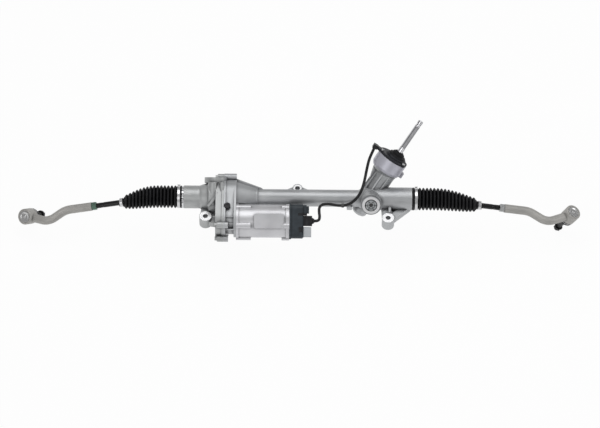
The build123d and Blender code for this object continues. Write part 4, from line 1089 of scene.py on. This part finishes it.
# A dark disc in the socket: painted shade for the hole.
disc = [(53.05, 0.3), (53.9, 0.3), (53.9, 4.6), (53.05, 5.2)]
ring("plug_disc", plug_line, disc, 48, phosphate, "housing", "dark_steel", 30)
print("yoke plug at", [round(value, 3) for value in plug_line.start])

# %% [markdown]
# ## The control unit
# The control unit is a moulded box. What shows that it is moulded are small things: the latch over
# the signal connector, the ribs on its face and the blades in the power connector. They are
# bevelled blocks, placed along the motor, towards its back and up its face.

# %% Blocks on the motor's own axes
CASE_TILT = radians(38)
CASE_BACK = Vector((0, sin(CASE_TILT), -cos(CASE_TILT)))
MOTOR = Line((RACK_X, *joints["motor_spin"]["pos_m"][1:]), ALONG, CASE_BACK)


def block(bm, low, high, bevel):
    """A bevelled block between two corners, given along the motor, to its back and up its face."""
    verts = bmesh.ops.create_cube(bm, size=1)["verts"]
    size = [b - a for a, b in zip(low, high)]
    middle = [(a + b) / 2 for a, b in zip(low, high)]
    bmesh.ops.scale(bm, vec=Vector(size) * MM, verts=verts)
    bmesh.ops.translate(bm, vec=Vector(middle) * MM, verts=verts)
    bmesh.ops.transform(bm, matrix=MOTOR.matrix, verts=verts)
    bevelled(bm, verts, bevel, 2)


print("motor axis through", [round(value, 4) for value in MOTOR.start])

# %% Latch, ribs and blades
bm = bmesh.new()
block(bm, (8, -40.9, 15.2), (20.5, -30, 21.2), 0.5)
block(bm, (19, -37.0, 14.8), (31, -28, 20.6), 0.5)
block(bm, (10, -40.9, -27.6), (20.5, -30, -14.6), 0.5)
block(bm, (28, -35.2, -10.5), (38, -33.2, 12.8), 0.4)
for up in (-8.5, -4.5, 6.5, 10.5):
    block(bm, (24.5, -35.0, up), (43, -33.6, up + 1.6), 0.3)
shown("connector_latch", bm, black_plastic, "housing", "black_plastic", 30)
bm = bmesh.new()
for back in (-18, -6, 6):
    for up in (-34, -28, -22):
        block(bm, (27, back - 2.4, up), (40, back - 1.4, up + 1.8), 0.3)
shown("power_blades", bm, copper, "housing", "winding_copper", 30)
print("latch blocks: 3, ribs: 4, blades: 9")

# %% [markdown]
# ## Sensor lead
# The lead runs from the control unit's signal connector, round the front of the housing, and up to
# the torque sensor's cap. A smooth NURBS curve through the frame's own route gives it its bends,
# and a round bevel its thickness.

# %% The lead
ROUTE = [
    (50, -82.1, 8.95), (60, -82.1, 8.95), (64, -72, 10.2), (61.7, -54, 12.6), (62.4, -39, 12.6),
    (71, -30.4, 13.1), (88, -28.7, 12.6), (111.7, -31.9, 9.3), (133, -32.1, 11.7),
    (152.2, -25.9, 21.6), (168.5, -12.1, 38.8), (177.5, 15.5, 49), (183, 43.5, 61.9),
    (188.5, 63.1, 78.5), (195.5, 76, 90.5), (201.6, 85.2, 99.8),
]
LEAD_RADIUS = 3.7
curve = bpy.data.curves.new("sensor_lead", "CURVE")
curve.dimensions = "3D"
spline = curve.splines.new("NURBS")
spline.points.add(len(ROUTE) - 1)
for point, where in zip(spline.points, ROUTE):
    point.co = (*place(*where), 1)
spline.order_u = 3
spline.use_endpoint_u = True
spline.resolution_u = 12
curve.bevel_depth = LEAD_RADIUS * MM
curve.bevel_resolution = 6
curve.use_fill_caps = True
curve.materials.append(sheath)
lead = bpy.data.objects.new("sensor_lead", curve)
bpy.context.scene.collection.objects.link(lead)
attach(lead, "housing")
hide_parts("sensor_cable")
print("lead:", round(spline.calc_length() / MM), "mm")

# %% [markdown]
# Every solid that stays visible from the frame takes one of these finishes. Its mesh isn't
# touched: only the material slots are filled.

# %% Finishes of the CAD pieces
finishes = {
    casting: ["rack_housing"],
    cover_casting: ["gear_cover"],
    motor_casting: ["motor_housing", "yoke"],
    machined: ["driven_pulley"],
    plug_metal: ["yoke_plug"],
    zinc: ["gear_cover_bolts", "sensor_cap_screws", "pinion_cap", "lock_nut_right"],
    olive_zinc: ["lock_nut_left"],
    polished_steel: [
        "rack_bar", "pinion_shaft", "ball_nut", "motor_shaft", "pinion_bearings",
        "nut_bearing_outer", "motor_bearings",
    ],
    shaft_steel: ["input_shaft"],
    phosphate: [
        "ball_stud_left", "ball_stud_right", "inner_socket_left", "inner_socket_right",
        "yoke_spring", "torsion_bar", "drive_pulley", "cable_clip",
    ],
    band_steel: ["large_clamps", "small_clamp_left", "small_clamp_right"],
    cap_steel: ["joint_cap_left", "joint_cap_right"],
    black_coat: ["tie_rod_left", "tie_rod_right", "stud_nut_left", "stud_nut_right"],
    left.forging: ["tie_rod_end_left"],
    right.forging: ["tie_rod_end_right"],
    bellows_rubber: ["bellows_left", "bellows_right"],
    boot_rubber: ["dust_boot_left", "dust_boot_right", "input_seal"],
    sheath: ["sensor_cable"],
    belt_rubber: ["drive_belt"],
    black_plastic: ["signal_connector", "cable_plug", "sensor_plug", "torque_sensor", "vent_plug"],
    cap_plastic: ["sensor_cap"],
    charcoal_plastic: ["ecu_housing"],
    grey_plastic: ["power_connector"],
    bearing_plastic: ["rack_bush", "inner_seats", "outer_seat_left", "outer_seat_right"],
    copper: ["stator"],
    magnet: ["rotor", "sensor_rotor"],
}
for finish, names in finishes.items():
    for name in names:
        mesh = nodes[name].data
        mesh.materials.clear()
        mesh.materials.append(finish)
left_bare = set(nodes) - {name for names in finishes.values() for name in names}
print("finishes:", len(finishes), "pieces without one:", sorted(left_bare))
